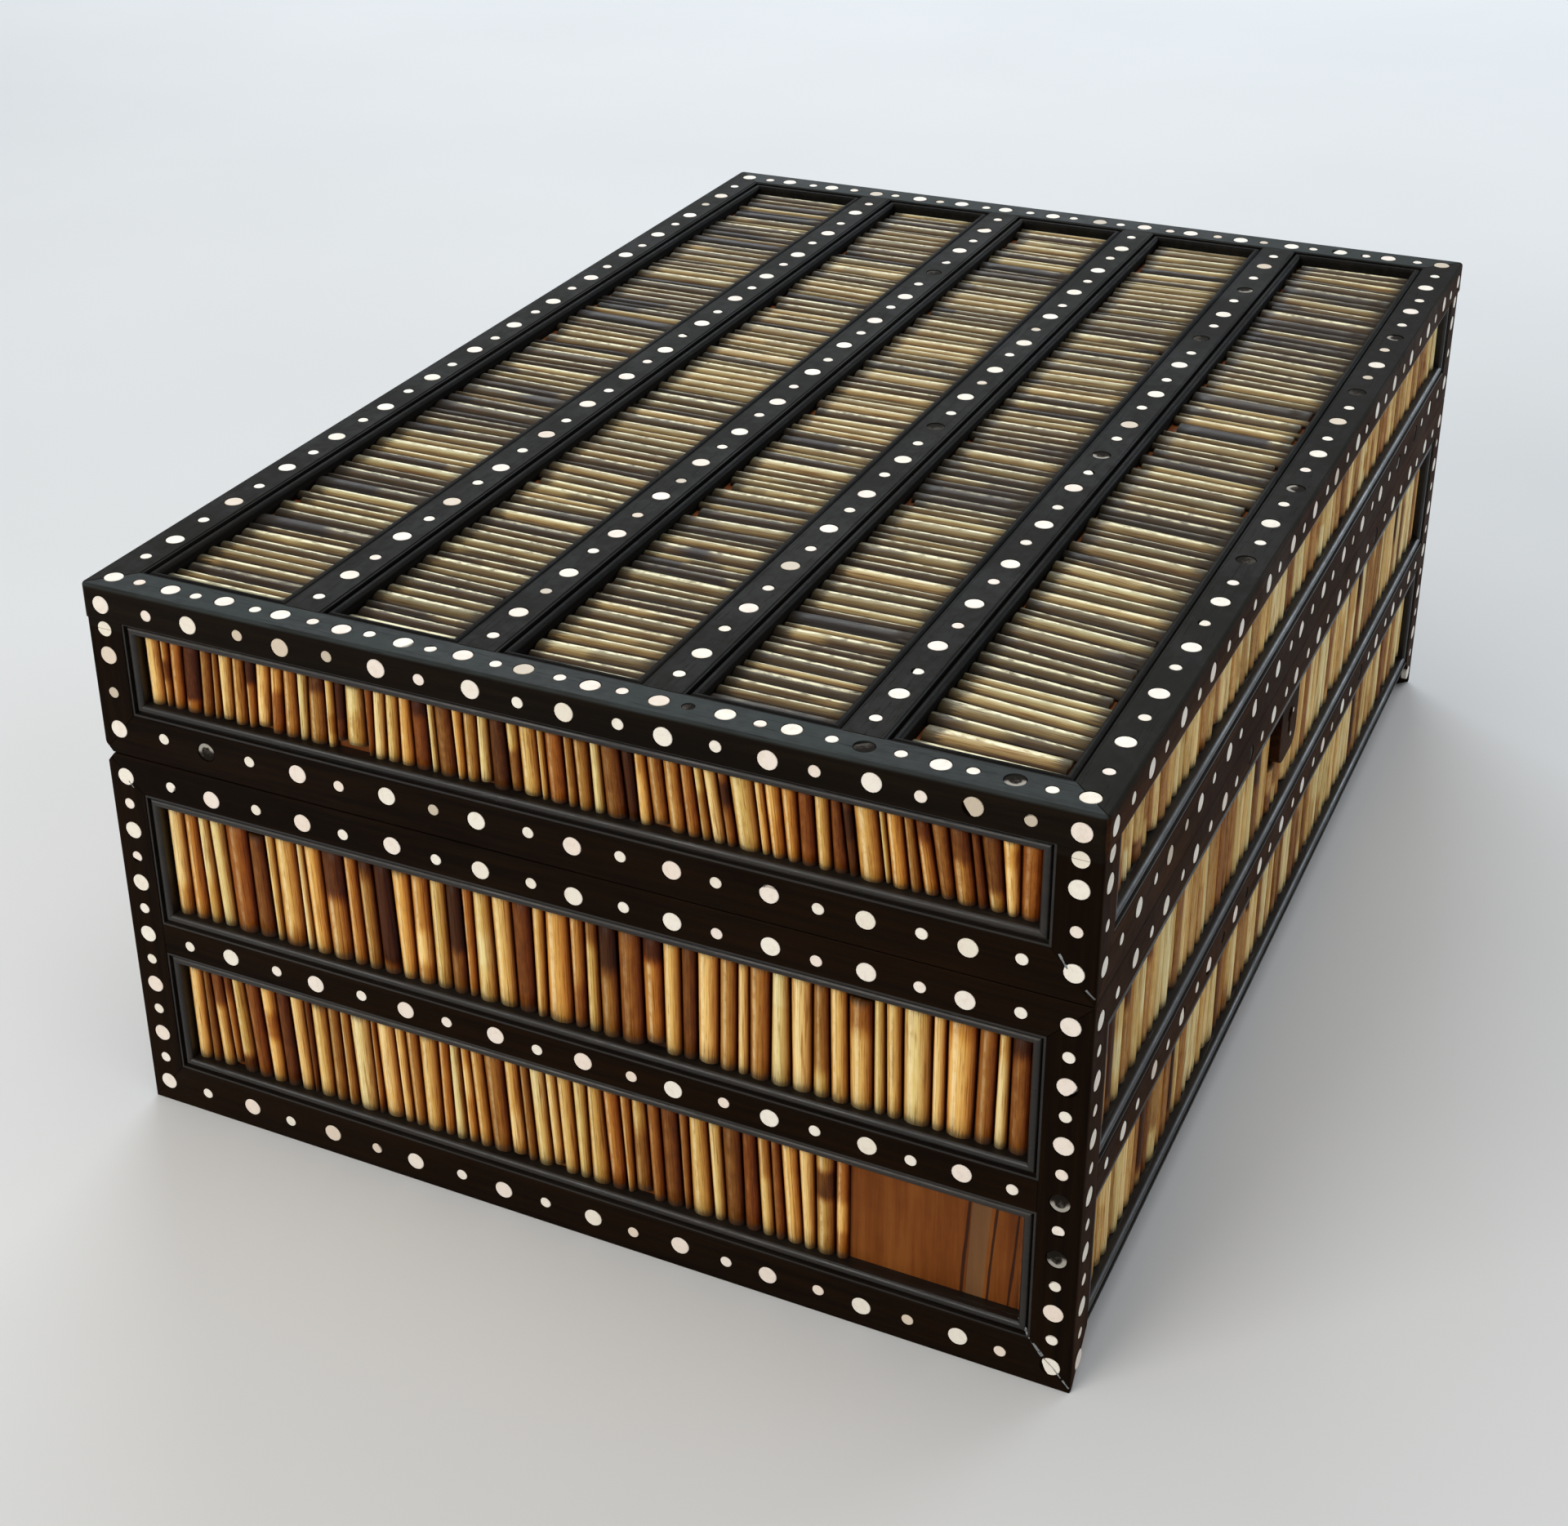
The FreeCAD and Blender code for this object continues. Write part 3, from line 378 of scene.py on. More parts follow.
def quillPaint(kind):
    wear, ground = quillWearAndLight[kind], "top" if kind == "top" else "side"

    def paint(bench, place):
        along, across, tone, band, jump, second, sharp, own = (
            bench.attribute(label) for label in ("along", "across", "tone", "band", "jump", "second", "sharp", "own"))
        mottle = bench.noise(bench.join(across * 0.8, along * 3.0, own * 97.0), 2.4, 3.0) - 0.5
        ragged = bench.noise(bench.join(across * 4.0, along * 2.0, own * 61.0), 3.0, 3.0) - 0.5
        edge = along + ragged * 0.10
        changed = bench.soft(edge, band - sharp, band + sharp)
        changed = changed * (1.0 - bench.soft(edge, second - sharp, second + sharp))
        here = tone + jump * changed + mottle * 0.22
        striae = bench.noise(bench.join(across * 1.7, along * 0.7, own * 43.0), 2.6, 3.0, 0.66)
        hairs = bench.noise(bench.join(across * 5.6, along * 0.5, own * 29.0), 3.0, 2.0)
        colour = bench.ramp(here + (striae - 0.5) * 0.30, quillStops[ground])
        hue = bench.ramp(bench.noise(bench.join(own * 211.0, 0.5, 0.5), 1.0, 0.0), quillHues)
        colour = bench.mixColour(wear["hue"], colour, hue, "MULTIPLY")
        colour = bench.mixColour(bench.soft(striae, 0.50, 0.66) * 0.85, colour, quillStreaks["broad"], "MULTIPLY")
        colour = bench.mixColour(bench.soft(hairs, 0.50, 0.62) * 0.70, colour, quillStreaks["fine"], "MULTIPLY")
        # painted highlight: a bright line along each quill, broken in places
        middle, width, strong, pale = wear["gleam"]
        broken = bench.soft(bench.noise(bench.join(across * 1.2, along * 6.0, own * 17.0), 2.0, 3.0), 0.34, 0.56)
        gleam = 1.0 - bench.soft((across - middle + (own - 0.5) * 0.25 + ragged * 0.2).size(), width * 0.2, width)
        gleam = gleam * (wear["steady"] + broken * (1.0 - wear["steady"]))
        colour = bench.mixColour(gleam * bench.soft(here, *wear["gleamFrom"]) * strong, colour, pale)
        # painted shade and highlight across each quill's rounding
        roundingShade = bench.ramp(across * wear["way"] * 0.5 + 0.5, quillEdge[ground])
        colour = bench.mixColour(wear["edge"], colour, roundingShade, "MULTIPLY")
        footStrong, footReach = wear["foot"]
        foot = 1.0 - bench.soft(along + ragged * wear["torn"], 0.015, footReach)
        # painted shadow over the heads, where the moulding or wall above them shades them
        head = bench.soft(along + ragged * wear["torn"], wear["head"], wear["head"] + 0.09)
        colour = bench.mixColour(foot * footStrong, colour, quillStreaks["dusty"])
        colour = bench.mixColour(head * 0.82, colour, wear["headShadow"])
        return {"Base Color": colour, "Roughness": 0.36 + striae * 0.22,
                "Bump": (striae * 0.7 + hairs * 0.3, 0.00010)}
    return paint


# one quill finish in three copies, each with the painted shade, highlight and palette for the light on its face
quill = {kind: material("quill_" + kind, quillPaint(kind), Specular_IOR_Level=gloss)
         for kind, gloss in (("side", 0.12), ("front", 0.08), ("top", 0.22))}


# Brass with tarnish, and dull steel
def metalPaint(bright, stain):
    def paint(bench, place):
        spots = bench.noise(place, 260.0, 5.0, 0.65)
        lines = bench.noise(bench.stretch(place, 0.08, 1.0, 1.0), 1500.0, 3.0)
        colour = bench.mixColour(bench.soft(spots, 0.45, 0.72), bright, stain)
        return {"Base Color": colour, "Roughness": 0.30 + bench.soft(spots, 0.4, 0.7) * 0.25 + lines * 0.08,
                "Bump": (lines + spots * 0.5, 0.00003)}
    return paint


brass = material("brass", metalPaint((0.56, 0.39, 0.15), (0.20, 0.12, 0.05)), Metallic=1.0)
steel = material("steel", metalPaint((0.30, 0.29, 0.28), (0.12, 0.08, 0.055)), Metallic=1.0)


# The finish of every piece that keeps its shape from the solids
def finishFor(name):
    if name == "case_left_board":
        return patchedWood
    if name.endswith("board"):
        return carcassWood
    if name.endswith("posts"):
        return ebony["sideZ"]
    if name == "keyhole_escutcheon":
        return ebony["frontX"]
    if name == "escutcheon_pins":
        return bone
    if name.endswith("beads"):
        return ebony["topBeadround" if name.startswith("top") else "beadround"]
    if name == "case_mid_rails":
        return ebony["sideround"]
    if name.startswith("top_") and name.endswith(("rail", "dividers")):
        return ebony["topY" if "left" in name or "right" in name else "topX"]
    if name.endswith("rail"):
        return ebony["sideY" if "left" in name or "right" in name else "frontX" if "front" in name else "sideX"]
    if name in ("lock_spring", "lock_screws", "lock_key_post", "striker_screws") or name.startswith("hinge_pins"):
        return steel
    return steel if "screws" in name else brass


for name, node in nodes.items():
    node.data.materials.clear()
    node.data.materials.append(finishFor(name))
print("finishes given")


# The separate solids of a CAD node, each as its triangles' corners
def solidsOf(name):
    mesh = nodes[name].data
    places = np.empty(len(mesh.vertices) * 3, np.float32)
    mesh.vertices.foreach_get("co", places)
    places = places.reshape(-1, 3)
    welded = np.unique(np.round(places / (0.001 * mm)).astype(np.int64), axis=0, return_inverse=True)[1].reshape(-1)
    corners = np.empty(len(mesh.loops), np.int32)
    mesh.loops.foreach_get("vertex_index", corners)
    triangles = welded[corners].reshape(-1, 3)
    label = np.arange(welded.max() + 1)
    while True:
        lowest = label.copy()
        for corner in range(3):
            np.minimum.at(lowest, triangles[:, corner], label[triangles].min(axis=1))
        lowest = lowest[lowest]
        if (lowest == label).all():
            break
        label = lowest
    owner = label[triangles[:, 0]]
    shapes = places[corners].reshape(-1, 3, 3)
    return [shapes[owner == one] for one in np.unique(owner)]


def extent(solid):
    flat = solid.reshape(-1, 3)
    return Vector(flat.min(axis=0)), Vector(flat.max(axis=0))


def pointsMesh(name, places, values):
    mesh = bpy.data.meshes.new(name)
    mesh.from_pydata([tuple(place) for place in places], [], [])
    for key, column in values.items():
        flat = np.array(column, float)
        kind, field = ("FLOAT_VECTOR", "vector") if flat.ndim == 2 else ("FLOAT", "value")
        mesh.attributes.new(key, kind, "POINT").data.foreach_set(field, flat.ravel())
    return mesh


def newTree(name, sockets):
    tree = bpy.data.node_groups.new(name, "GeometryNodeTree")
    tree.interface.new_socket("Geometry", in_out="INPUT", socket_type="NodeSocketGeometry")
    for label, kind in sockets.items():
        tree.interface.new_socket(label, in_out="INPUT", socket_type="NodeSocket" + kind)
    tree.interface.new_socket("Geometry", in_out="OUTPUT", socket_type="NodeSocketGeometry")
    bench = Bench(tree)
    source = tree.nodes.new("NodeGroupInput")
    return bench, {socket.name: Wire(bench, socket) for socket in source.outputs if socket.name}


def closeTree(bench, geometry, look):
    real = bench.node("GeometryNodeSetMaterial", None, {"Geometry": geometry, "Material": look})
    bench.node("NodeGroupOutput", None, {"Geometry": real})


def store(bench, geometry, name, value, kind="FLOAT", domain="POINT"):
    return bench.node("GeometryNodeStoreNamedAttribute", {"data_type": kind, "domain": domain},
                      {"Geometry": geometry, "Name": name, "Value": value})


def chance(bench, key, seed, low=0.0, high=1.0):
    return bench.node("FunctionNodeRandomValue", {"data_type": "FLOAT"}, {2: low, 3: high, 7: key, 8: seed}, out=1)


def vectorSum(bench, start, *steps):
    total = start
    for direction, length in steps:
        step = bench.node("ShaderNodeVectorMath", {"operation": "SCALE"}, {0: direction, "Scale": length})
        total = bench.node("ShaderNodeVectorMath", {"operation": "ADD"}, {0: total, 1: step})
    return total


def addPiece(name, mesh, body, replaced):
    piece = bpy.data.objects.new(name, mesh)
    bpy.context.scene.collection.objects.link(piece)
    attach(piece, body)
    if replaced:
        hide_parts(*replaced)
    print(name, len(mesh.polygons), "faces")
    return piece


def grow(name, mesh, tree, settings, body, replaced):
    seedPiece = bpy.data.objects.new(name + "_points", mesh)
    bpy.context.scene.collection.objects.link(seedPiece)
    modifier = seedPiece.modifiers.new("made", "NODES")
    modifier.node_group = tree
    for socket in tree.interface.items_tree:
        if socket.item_type == "SOCKET" and socket.in_out == "INPUT" and socket.name in settings:
            modifier[socket.identifier] = settings[socket.name]
    solid = bpy.data.meshes.new_from_object(seedPiece.evaluated_get(bpy.context.evaluated_depsgraph_get()))
    solid.name = name
    seedPiece.modifiers.clear()
    bpy.data.objects.remove(seedPiece)
    return addPiece(name, solid, body, replaced)


# Quills: each point is one run of quills, and the tree lays them side by side with slanting joints
quillSizes = {
    "height": 1.5 * mm,
    "gap": 0.13 * mm,
    "wander": 0.38,
    "endGap": 0.05 * mm,
    "shortest": 2.0 * mm,    # how far a rare short quill stops from the panel's end
    "side": 0.12,            # the low upright side, as a share of the crest
    "fanIn": 3.5,            # rods from either end of a run over which the lean comes in
    "twoBands": 0.22,        # share of the quills whose colour changes back
    "sides": 12,
    "rings": 5,
}

# One row for each panel: mean width mm, lean at the row's start and end (heads along the row, as a
# share of the length), lean's slow swing, colour bias, frayed heads mm
panelWays = {
    "case_left_low": (2.70, -0.05, -0.02, 0.030, 0.00, 0.2),
    "case_left_mid": (3.25, -0.035, 0.01, 0.020, 0.05, 0.1),
    "lid_left": (2.50, 0.06, -0.15, 0.035, -0.06, 0.2),
    "case_front": (3.25, 0.02, -0.02, 0.030, 0.10, 0.1),
    "lid_front": (3.25, 0.02, -0.02, 0.030, 0.12, 0.1),
    "case_right": (2.95, -0.02, 0.03, 0.030, 0.00, 0.1),
    "lid_right": (2.80, 0.03, -0.02, 0.030, -0.02, 0.1),
    "case_back": (2.95, 0.02, -0.03, 0.030, 0.00, 0.1),
    "lid_back": (2.90, -0.02, 0.02, 0.030, 0.00, 0.1),
    "top_0": (3.40, 0.10, 0.07, 0.030, 0.02, 0.6),
    "top_1": (3.05, 0.01, -0.03, 0.030, -0.02, 0.8),
    "top_2": (3.00, -0.02, 0.03, 0.030, 0.00, 1.0),
    "top_3": (3.00, 0.02, 0.02, 0.030, -0.03, 1.0),
    "top_4": (2.95, 0.03, -0.02, 0.030, -0.08, 1.2),
}


def quillTree():
    bench, given = newTree("layQuills", {"Height": "Float", "Gap": "Float", "Wander": "Float", "End gap": "Float",
                                         "Shortest": "Float", "Side": "Float", "Banded": "Float", "Spread": "Float",
                                         "Seed": "Int", "Material": "Material"})
    many, runLength, rodLength = (bench.attribute(label) for label in ("rods", "runLength", "rodLength"))
    rods = bench.node("GeometryNodeDuplicateElements", {"domain": "POINT"},
                      {"Geometry": given["Geometry"], "Amount": many})
    index = Wire(bench, rods.socket.node.outputs["Duplicate Index"])
    seed = given["Seed"]
    key = bench.attribute("run") * 500.0 + index
    # the joints' places at the foot and at the head, upright at both ends of a run
    for label, step, atHead in (("footLeft", 0.0, 0), ("footRight", 1.0, 0),
                                ("headLeft", 0.0, 1), ("headRight", 1.0, 1)):
        place = index + step
        toEnd = place.least(many - place)
        drift = chance(bench, key + step, seed, -0.8, 0.8)
        drift = drift + chance(bench, key + step, seed + float(1 + atHead), -0.2, 0.2)
        where = (place + drift * given["Wander"] * toEnd.least(1.0)) / many * runLength
        if atHead:
            slow = bench.noise(bench.join(place * 0.17, bench.attribute("run") * 7.3, 0.5), 1.0, 1.0) - 0.5
            first, last = bench.attribute("leanStart"), bench.attribute("leanEnd")
            lean = first + (last - first) * (place / many) + slow * bench.attribute("swing") * 4.0
            where = where + lean * rodLength * bench.soft(toEnd, 0.0, quillSizes["fanIn"])
        rods = store(bench, rods, label, where)
    for label, value in (
            ("own", chance(bench, key, seed + 4.0)),
            ("tone", chance(bench, key, seed + 5.0, -0.5, 0.5) * given["Spread"] + 0.55 + bench.attribute("bias")),
            ("tall", chance(bench, key, seed + 9.0, 0.84, 1.0)),
            ("sharp", chance(bench, key, seed + 12.0, 0.05, 0.16)),
            ("footShort", chance(bench, key, seed + 10.0) ** 14.0 * given["Shortest"]),
            ("headShort", chance(bench, key, seed + 11.0) ** 14.0 * given["Shortest"]
             + chance(bench, key, seed + 13.0) ** 2.0 * bench.attribute("fray"))):
        rods = store(bench, rods, label, value)
    banded = chance(bench, key, seed + 6.0) < given["Banded"]
    up = chance(bench, key, seed + 14.0) < 0.5
    rods = store(bench, rods, "jump", banded * (up * 2.0 - 1.0) * chance(bench, key, seed + 8.0, 0.22, 0.50))
    rods = store(bench, rods, "band", chance(bench, key, seed + 7.0, 0.10, 0.86))
    twice = chance(bench, key, seed + 15.0) < quillSizes["twoBands"]
    rods = store(bench, rods, "second", twice * (bench.attribute("band") + 0.28) + (1.0 - twice) * 3.0)

    rod = bench.node("GeometryNodeMeshCylinder", {"fill_type": "NGON"},
                     {"Vertices": quillSizes["sides"], "Side Segments": quillSizes["rings"], "Radius": 1.0,
                      "Depth": 1.0})
    x, y, z = bench.split(bench.node("GeometryNodeInputPosition"))
    for label, wire in (("across", x), ("up", y), ("along", z + 0.5)):
        rod = store(bench, rod, label, wire)
    made = bench.node("GeometryNodeInstanceOnPoints", None, {"Points": rods, "Instance": rod})
    made = bench.node("GeometryNodeRealizeInstances", None, {"Geometry": made})

    t, up, across = bench.attribute("along"), bench.attribute("up"), bench.attribute("across")
    left = bench.attribute("footLeft") * (1.0 - t) + bench.attribute("headLeft") * t
    right = bench.attribute("footRight") * (1.0 - t) + bench.attribute("headRight") * t
    width = right - left - given["Gap"]
    u = left + given["Gap"] * 0.5 + (across * 0.5 + 0.5) * width
    foot = given["End gap"] + bench.attribute("footShort")
    head = given["End gap"] + bench.attribute("headShort")
    v = foot + t * (bench.attribute("rodLength") - foot - head)
    wave = bench.noise(bench.join(t * 2.5, bench.attribute("own") * 83.0, 0.0), 1.0, 1.0)
    crest = given["Height"] * bench.attribute("tall") * (0.66 + (width / (3.0 * mm)) * 0.30 + wave * 0.10)
    crest = crest.least(given["Height"])
    side = given["Side"]
    h = crest * (side * (1.0 + up.least(0.0)) + (1.0 - side) * up.most(0.0))
    place = vectorSum(bench, bench.attribute("start", "FLOAT_VECTOR"),
                      (bench.attribute("uWay", "FLOAT_VECTOR"), u), (bench.attribute("vWay", "FLOAT_VECTOR"), v),
                      (bench.attribute("outWay", "FLOAT_VECTOR"), h))
    made = bench.node("GeometryNodeSetPosition", None, {"Geometry": made, "Position": place})
    made = bench.node("GeometryNodeSetShadeSmooth", None, {"Geometry": made, "Shade Smooth": True})
    closeTree(bench, made, given["Material"])
    return bench.tree


# Each side's directions: along the row, up the quills and out of the face, then how far out the face is
sideWays = {
    "front": (Vector((1, 0, 0)), Vector((0, 0, 1)), Vector((0, -1, 0)), 87.7 * mm),
    "back": (Vector((-1, 0, 0)), Vector((0, 0, 1)), Vector((0, 1, 0)), 87.7 * mm),
    "left": (Vector((0, -1, 0)), Vector((0, 0, 1)), Vector((-1, 0, 0)), 126.7 * mm),
    "right": (Vector((0, 1, 0)), Vector((0, 0, 1)), Vector((1, 0, 0)), 126.7 * mm),
    "top": (Vector((1, 0, 0)), Vector((0, 1, 0)), Vector((0, 0, 1)), 105.0 * mm),
}


# The rows of quills in a node: where each starts, how long it is and how long its quills are
def quillRuns(name, side):
    uWay, vWay, outWay, face = sideWays[side]
    panels = {}
    for solid in solidsOf(name):
        low, high = extent(solid)
        rod = [sorted((low.dot(way), high.dot(way))) for way in (uWay, vWay, outWay)]
        panels.setdefault((round(rod[1][0] / mm), round(rod[1][1] / mm)), []).append(rod)
    runs = []
    for level, key in enumerate(sorted(panels)):
        row = sorted(panels[key], key=lambda rod: rod[0][0])
        run = [row[0]]
        for rod in row[1:] + [None]:
            if rod is None or rod[0][0] - run[-1][0][1] > 1.5 * mm:
                u0, u1 = run[0][0][0] - 0.06 * mm, run[-1][0][1] + 0.06 * mm
                v0, v1 = run[0][1][0] - 0.05 * mm, run[0][1][1] + 0.05 * mm
                runs.append((uWay * u0 + vWay * v0 + outWay * run[0][2][0], u1 - u0, v1 - v0, level))
                run = []
            run.append(rod)
    return runs


def panelWay(name, side, level):
    if side == "top":
        return panelWays["top_%d" % level]
    part = name.split("_quills")[0]
    return panelWays[part + ("_low", "_mid")[level] if part == "case_left" else part]


def quillPiece(name, side, body, tree, seed, banded, spread):
    runs = quillRuns(name, side)
    uWay, vWay, outWay, face = sideWays[side]
    ways = [panelWay(name, side, run[3]) for run in runs]
    rows = {"start": [run[0] for run in runs], "runLength": [run[1] for run in runs],
            "rodLength": [run[2] for run in runs], "run": list(range(len(runs))),
            "rods": [max(1, round(run[1] / mm / way[0])) for run, way in zip(runs, ways)],
            "uWay": [uWay] * len(runs), "vWay": [vWay] * len(runs), "outWay": [outWay] * len(runs)}
    for place, label in enumerate(("leanStart", "leanEnd", "swing", "bias"), 1):
        rows[label] = [way[place] for way in ways]
    rows["fray"] = [way[5] * mm for way in ways]
    mesh = pointsMesh(name, rows["start"], rows)
    settings = {"Height": quillSizes["height"], "Gap": quillSizes["gap"], "Wander": quillSizes["wander"],
                "End gap": quillSizes["endGap"], "Shortest": quillSizes["shortest"], "Side": quillSizes["side"],
                "Banded": banded, "Spread": spread, "Seed": seed,
                "Material": quill[side if side in ("top", "front") else "side"]}
    return grow(name + "_laid", mesh, tree, settings, body, [name])


layQuills = quillTree()
for number, side in enumerate(("front", "back", "left", "right")):
    quillPiece("case_%s_quills" % side, side, "case", layQuills, 40 + number, 0.38, 0.92)
    quillPiece("lid_%s_quills" % side, side, "lid", layQuills, 60 + number, 0.38, 0.95)
quillPiece("top_quills", "top", "lid", layQuills, 80, 0.35, 1.05)


# Bone dots: a short pin with a softened edge, not quite round, a few with a chip out of them
dotSizes = {"edge": 0.10 * mm, "sink": 0.07 * mm, "sides": 18, "chipped": 0.07, "bite": 0.30, "uneven": 0.07}


def dotTree():
    bench, given = newTree("setDots", {"Edge": "Float", "Sink": "Float", "Chipped": "Float", "Uneven": "Float",
                                       "Seed": "Int", "Material": "Material"})
    index, seed = bench.node("GeometryNodeInputIndex"), given["Seed"]
    dots = given["Geometry"]
    for label, value in (
            ("tone", chance(bench, index, seed)),
            ("sunk", chance(bench, index, seed + 1.0) * given["Sink"]),
            ("wear", chance(bench, index, seed + 2.0, 0.97, 1.0)),
            ("chip", chance(bench, index, seed + 3.0) < given["Chipped"]),
            ("chipAngle", chance(bench, index, seed + 4.0, 0.0, 6.28))):
        dots = store(bench, dots, label, value)
    pin = bench.node("GeometryNodeMeshCylinder", {"fill_type": "TRIANGLE_FAN"},
                     {"Vertices": dotSizes["sides"], "Side Segments": 2, "Radius": 1.0, "Depth": 1.0})
    x, y, z = bench.split(bench.node("GeometryNodeInputPosition"))
    for label, wire in (("ringX", x), ("ringY", y), ("level", z)):
        pin = store(bench, pin, label, wire)
    made = bench.node("GeometryNodeInstanceOnPoints", None, {"Points": dots, "Instance": pin})
    made = bench.node("GeometryNodeRealizeInstances", None, {"Geometry": made})
    ringX, ringY, level = (bench.attribute(label) for label in ("ringX", "ringY", "level"))
    top = level > 0.25
    base = level < -0.25
    angle = bench.attribute("chipAngle")
    facing = ringX * angle.sum("COSINE", angle) + ringY * angle.sum("SINE", angle)
    bite = bench.soft(facing, 0.55, 1.0) * bench.attribute("chip") * dotSizes["bite"] * (1.0 - base)
    outline = bench.noise(bench.join(ringX, ringY, angle * 9.0), 1.1, 1.0) * given["Uneven"]
    spread = bench.attribute("radius") * bench.attribute("wear") * (1.0 - bite - outline) - top * given["Edge"]
    h = (1.0 - top - base) * given["Edge"] * -0.7 - base * bench.attribute("deep")
    h = h - bench.attribute("sunk") * (1.0 - base)
    place = vectorSum(bench, bench.attribute("start", "FLOAT_VECTOR"),
                      (bench.attribute("uWay", "FLOAT_VECTOR"), ringX * spread),
                      (bench.attribute("vWay", "FLOAT_VECTOR"), ringY * spread),
                      (bench.attribute("outWay", "FLOAT_VECTOR"), h))
    made = bench.node("GeometryNodeSetPosition", None, {"Geometry": made, "Position": place})
    closeTree(bench, made, given["Material"])
    return bench.tree


def plugPiece(name, rows, body, tree, seed, look, replaced, edge):
    settings = {"Edge": edge, "Sink": dotSizes["sink"], "Chipped": dotSizes["chipped"],
                "Uneven": dotSizes["uneven"], "Seed": seed, "Material": look}
    return grow(name, pointsMesh(name, rows["start"], rows), tree, settings, body, replaced)


def plugRows():
    return {key: [] for key in ("start", "radius", "deep", "uWay", "vWay", "outWay")}


def addPlug(rows, side, start, radius, deep):
    uWay, vWay, outWay, face = sideWays[side]
    for key, value in zip(rows, (start, radius, deep, uWay, vWay, outWay)):
        rows[key].append(value)


# The dots of one node. A dot that is cracked in two keeps the shape of its solids
def dotPiece(name, body, tree, seed):
    rows, halves = plugRows(), []
    for solid in solidsOf(name):
        low, high = extent(solid)
        size = high - low
        axis = min(range(3), key=lambda i: size[i])
        middle = (low + high) / 2
        side = {0: "left" if middle.x < 0 else "right", 1: "front" if middle.y < 0 else "back", 2: "top"}[axis]
        wide, narrow = max(size), sorted(size)[1]
        if narrow < 0.9 * wide:
            halves.append(solid)
        else:
            addPlug(rows, side, middle + sideWays[side][2] * (size[axis] / 2), (wide + narrow) / 4, size[axis])
    plugPiece(name + "_set", rows, body, tree, seed, bone, [name], dotSizes["edge"])
    if halves:
        shapes = np.concatenate(halves).reshape(-1, 3)
        corners, faces = np.unique(np.round(shapes / (0.001 * mm)), axis=0, return_inverse=True)
        mesh = bpy.data.meshes.new(name + "_cracked")
        mesh.from_pydata((corners * 0.001 * mm).tolist(), [], faces.reshape(-1, 3).tolist())
        mesh.materials.append(bone)
        addPiece(name + "_cracked", mesh, body, [name])


setDots = dotTree()
for number, (name, body) in enumerate((("case_large_dots", "case"), ("case_small_dots", "case"),
                                       ("lid_large_dots", "lid"), ("lid_small_dots", "lid"))):
    dotPiece(name, body, setDots, 100 + 10 * number)


# Dirt in the holes of lost dots, with a painted highlight on some rims. A hole's floor is found in the ebony by its
# depth below the face
holeLook = {"depth": 0.55 * mm, "apart": 4.0 * mm, "least": 0.8 * mm, "fills": 0.98, "thick": 0.44 * mm,
            "edge": 0.01 * mm}


def holeFloors(body):
    rows = plugRows()
    for name, node in nodes.items():
        if not name.endswith(("rail", "rails", "posts", "dividers")) or (name[:4] == "case") != (body == "case"):
            continue
        places = np.empty(len(node.data.vertices) * 3, np.float32)
        node.data.vertices.foreach_get("co", places)
        places = places.reshape(-1, 3)
        for side, (uWay, vWay, outWay, face) in sideWays.items():
            level = places @ np.array(outWay)
            rest = places[np.abs(level - (face - holeLook["depth"])) < 0.01 * mm]
            while len(rest):
                near = np.linalg.norm(rest - rest[0], axis=1) < holeLook["apart"]
                low, high = Vector(rest[near].min(axis=0)), Vector(rest[near].max(axis=0))
                radius = max(high - low) / 2
                if len(rest[near]) > 7 and radius > holeLook["least"]:
                    thick = holeLook["thick"]
                    addPlug(rows, side, (low + high) / 2 + outWay * thick, radius * holeLook["fills"], thick)
                rest = rest[~near]
    return rows


for number, body in enumerate(("case", "lid")):
    rows = holeFloors(body)
    print(body, len(rows["start"]), "lost dots")
    if rows["start"]:
        plugPiece(body + "_hole_dirt", rows, body, setDots, 200 + number, holeDirtAndHighlight, [], holeLook["edge"])


# Filler lines on the left end, in mm: points (distance from the back, height, depth), then the line's width
fillerLines = {
    "case_filler": ("case", [
        ([(166.6, 11.2, 1.0), (168.1, 9.4, 0.30), (169.3, 7.9, 0.0), (170.9, 5.9, 0.0)], 0.55),
        ([(171.1, 5.6, 0.0), (172.6, 4.3, 0.0), (174.0, 2.6, 0.0)], 0.22),
        ([(174.3, 2.3, 0.0), (175.4, 1.0, 0.0)], 0.42),
        ([(4.4, 67.9, 0.0), (5.3, 66.8, 0.0)], 0.24)]),
    "lid_filler": ("lid", [
        ([(169.9, 80.7, 0.0), (170.6, 79.5, 0.0), (171.2, 78.5, 0.0)], 0.34),
        ([(174.1, 75.7, 0.0), (174.9, 75.0, 0.0), (175.5, 74.5, 0.0)], 0.30)]),
}


fillerShape = {"face": -126.7, "back": 88.0, "step": 0.35, "deep": 0.08, "proud": 0.015, "uneven": (0.55, 1.25)}


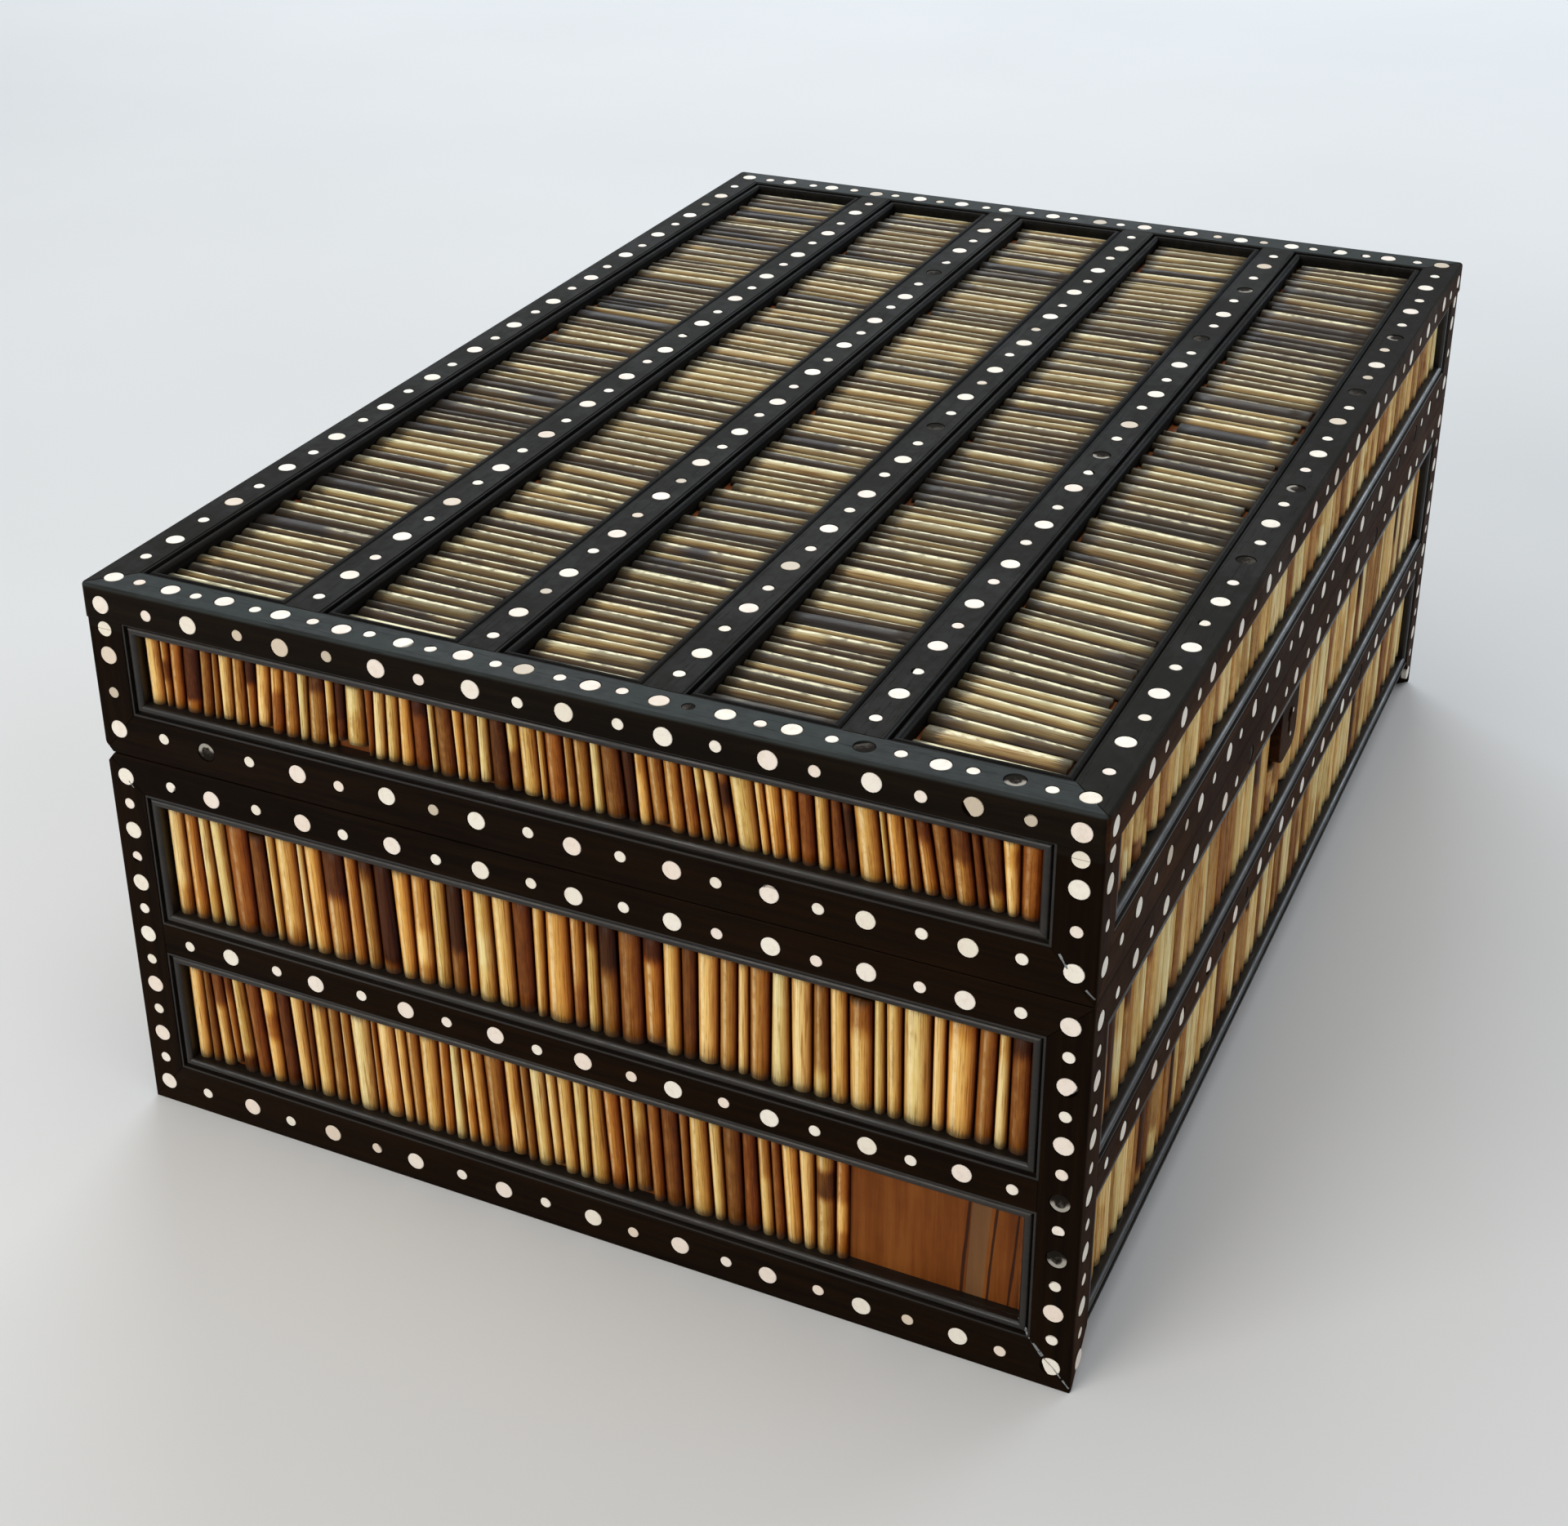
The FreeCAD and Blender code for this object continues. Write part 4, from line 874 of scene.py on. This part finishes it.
def fillerPiece(name, body, lines):
    corners, faces = [], []
    sway = np.random.default_rng(7)
    deep, proud = fillerShape["deep"], -fillerShape["proud"]
    for points, width in lines:
        path = np.array(points, float)
        places = np.concatenate([[0.0], np.cumsum(np.linalg.norm(np.diff(path, axis=0), axis=1))])
        steps = np.linspace(0.0, places[-1], max(4, int(places[-1] / fillerShape["step"])))
        line = np.stack([np.interp(steps, places, path[:, i]) for i in range(3)], axis=1)
        way = np.gradient(line[:, :2], axis=0)
        way /= np.linalg.norm(way, axis=1)[:, None]
        first = len(corners)
        for place, (du, dz) in zip(line, way):
            half = width / 2 * sway.uniform(*fillerShape["uneven"])
            for hand, inward in ((-1, deep), (1, deep), (1, proud), (-1, proud)):
                u, z = place[0] - dz * half * hand, place[1] + du * half * hand
                corners.append(((fillerShape["face"] + place[2] + inward) * mm, (fillerShape["back"] - u) * mm, z * mm))
        for ring in range(len(line) - 1):
            a = first + ring * 4
            faces += [(a + i, a + (i + 1) % 4, a + 4 + (i + 1) % 4, a + 4 + i) for i in range(4)]
        faces += [(first + 3, first + 2, first + 1, first), tuple(first + (len(line) - 1) * 4 + i for i in range(4))]
    mesh = bpy.data.meshes.new(name)
    mesh.from_pydata(corners, [], faces)
    mesh.materials.append(filler)
    addPiece(name, mesh, body, [])


for name, (body, lines) in fillerLines.items():
    fillerPiece(name, body, lines)


# The floor, which fades into the pale backdrop, and the room's light
floorLook = {"dark": (0.60, 0.60, 0.59), "pale": (0.66, 0.66, 0.65), "reach": 6.0, "fade": (0.7, 2.8),
             "backdrop": (0.44, 0.47, 0.51)}


def floorPaint(bench, place):
    shade = bench.noise(place, 6.0, 3.0)
    x, y, z = bench.split(place)
    seen = bench.node("ShaderNodeLightPath", out="Is Camera Ray")
    far = bench.soft((x * x + y * y) ** 0.5, *floorLook["fade"]) * seen
    return {"Base Color": bench.mixColour(shade, floorLook["dark"], floorLook["pale"]),
            "Emission Color": bench.mixColour(far, (0.0, 0.0, 0.0), floorLook["backdrop"])}


def floor():
    mesh = bpy.data.meshes.new("floor")
    reach = floorLook["reach"]
    mesh.from_pydata([(-reach, -reach, 0), (reach, -reach, 0), (reach, reach, 0), (-reach, reach, 0)], [],
                     [(0, 1, 2, 3)])
    mesh.materials.append(material("paleFloor", floorPaint, Roughness=0.7, Specular_IOR_Level=0.2,
                                   Emission_Strength=1.0))
    piece = bpy.data.objects.new("floor", mesh)
    bpy.context.scene.collection.objects.link(piece)


floor()

roomLook = {"colour": (0.86, 0.90, 0.96, 1.0), "strength": 0.42, "backdrop": 0.85}
room = bpy.data.worlds.new("room")
bpy.context.scene.world = room
room.use_nodes = True
room.node_tree.nodes["Background"].inputs["Color"].default_value = roomLook["colour"]
roomBench = Bench(room.node_tree)
seen = roomBench.node("ShaderNodeLightPath", out="Is Camera Ray")
strength = roomLook["strength"] + seen * (roomLook["backdrop"] - roomLook["strength"])
room.node_tree.links.new(strength.socket, room.node_tree.nodes["Background"].inputs["Strength"])

lamps = {
    "window": {"place": (1.10, 0.60, 0.90), "size": (1.0, 0.7), "power": 11.0, "colour": (0.84, 0.92, 1.0)},
    "doorway": {"place": (1.25, -0.72, 0.42), "size": (0.7, 0.5), "power": 7.0, "colour": (0.78, 0.89, 1.0)},
    "overhead": {"place": (-0.20, -0.10, 1.35), "size": (1.0, 1.0), "power": 7.0, "colour": (1.0, 0.98, 0.95)},
    "fill": {"place": (-1.05, 0.42, 0.60), "size": (0.7, 0.6), "power": 8.0, "colour": (1.0, 0.96, 0.90)},
}
for name, lamp in lamps.items():
    light = bpy.data.lights.new(name, "AREA")
    light.shape = "RECTANGLE"
    light.size, light.size_y = lamp["size"]
    light.energy = lamp["power"]
    light.color = lamp["colour"]
    holder = bpy.data.objects.new(name, light)
    holder.location = lamp["place"]
    holder.rotation_euler = (Vector((0, 0, 0.05)) - holder.location).to_track_quat("-Z", "Y").to_euler()
    bpy.context.scene.collection.objects.link(holder)

cameraView = {
    "place": (-0.40069, -0.16480, 0.27915),
    "turn": (63.731, 0.763, -64.220),
    "lens": 55.483,
    "shift": (0.0375, -0.1143),
}
camera = bpy.data.objects.new("camera", bpy.data.cameras.new("camera"))
camera.location = cameraView["place"]
camera.rotation_euler = [radians(angle) for angle in cameraView["turn"]]
camera.data.lens = cameraView["lens"]
camera.data.sensor_width = 36.0
camera.data.shift_x, camera.data.shift_y = cameraView["shift"]
camera.data.clip_start = 0.01
bpy.context.scene.collection.objects.link(camera)
bpy.context.scene.camera = camera
bpy.context.scene.view_settings.view_transform = "Standard"

print("done")
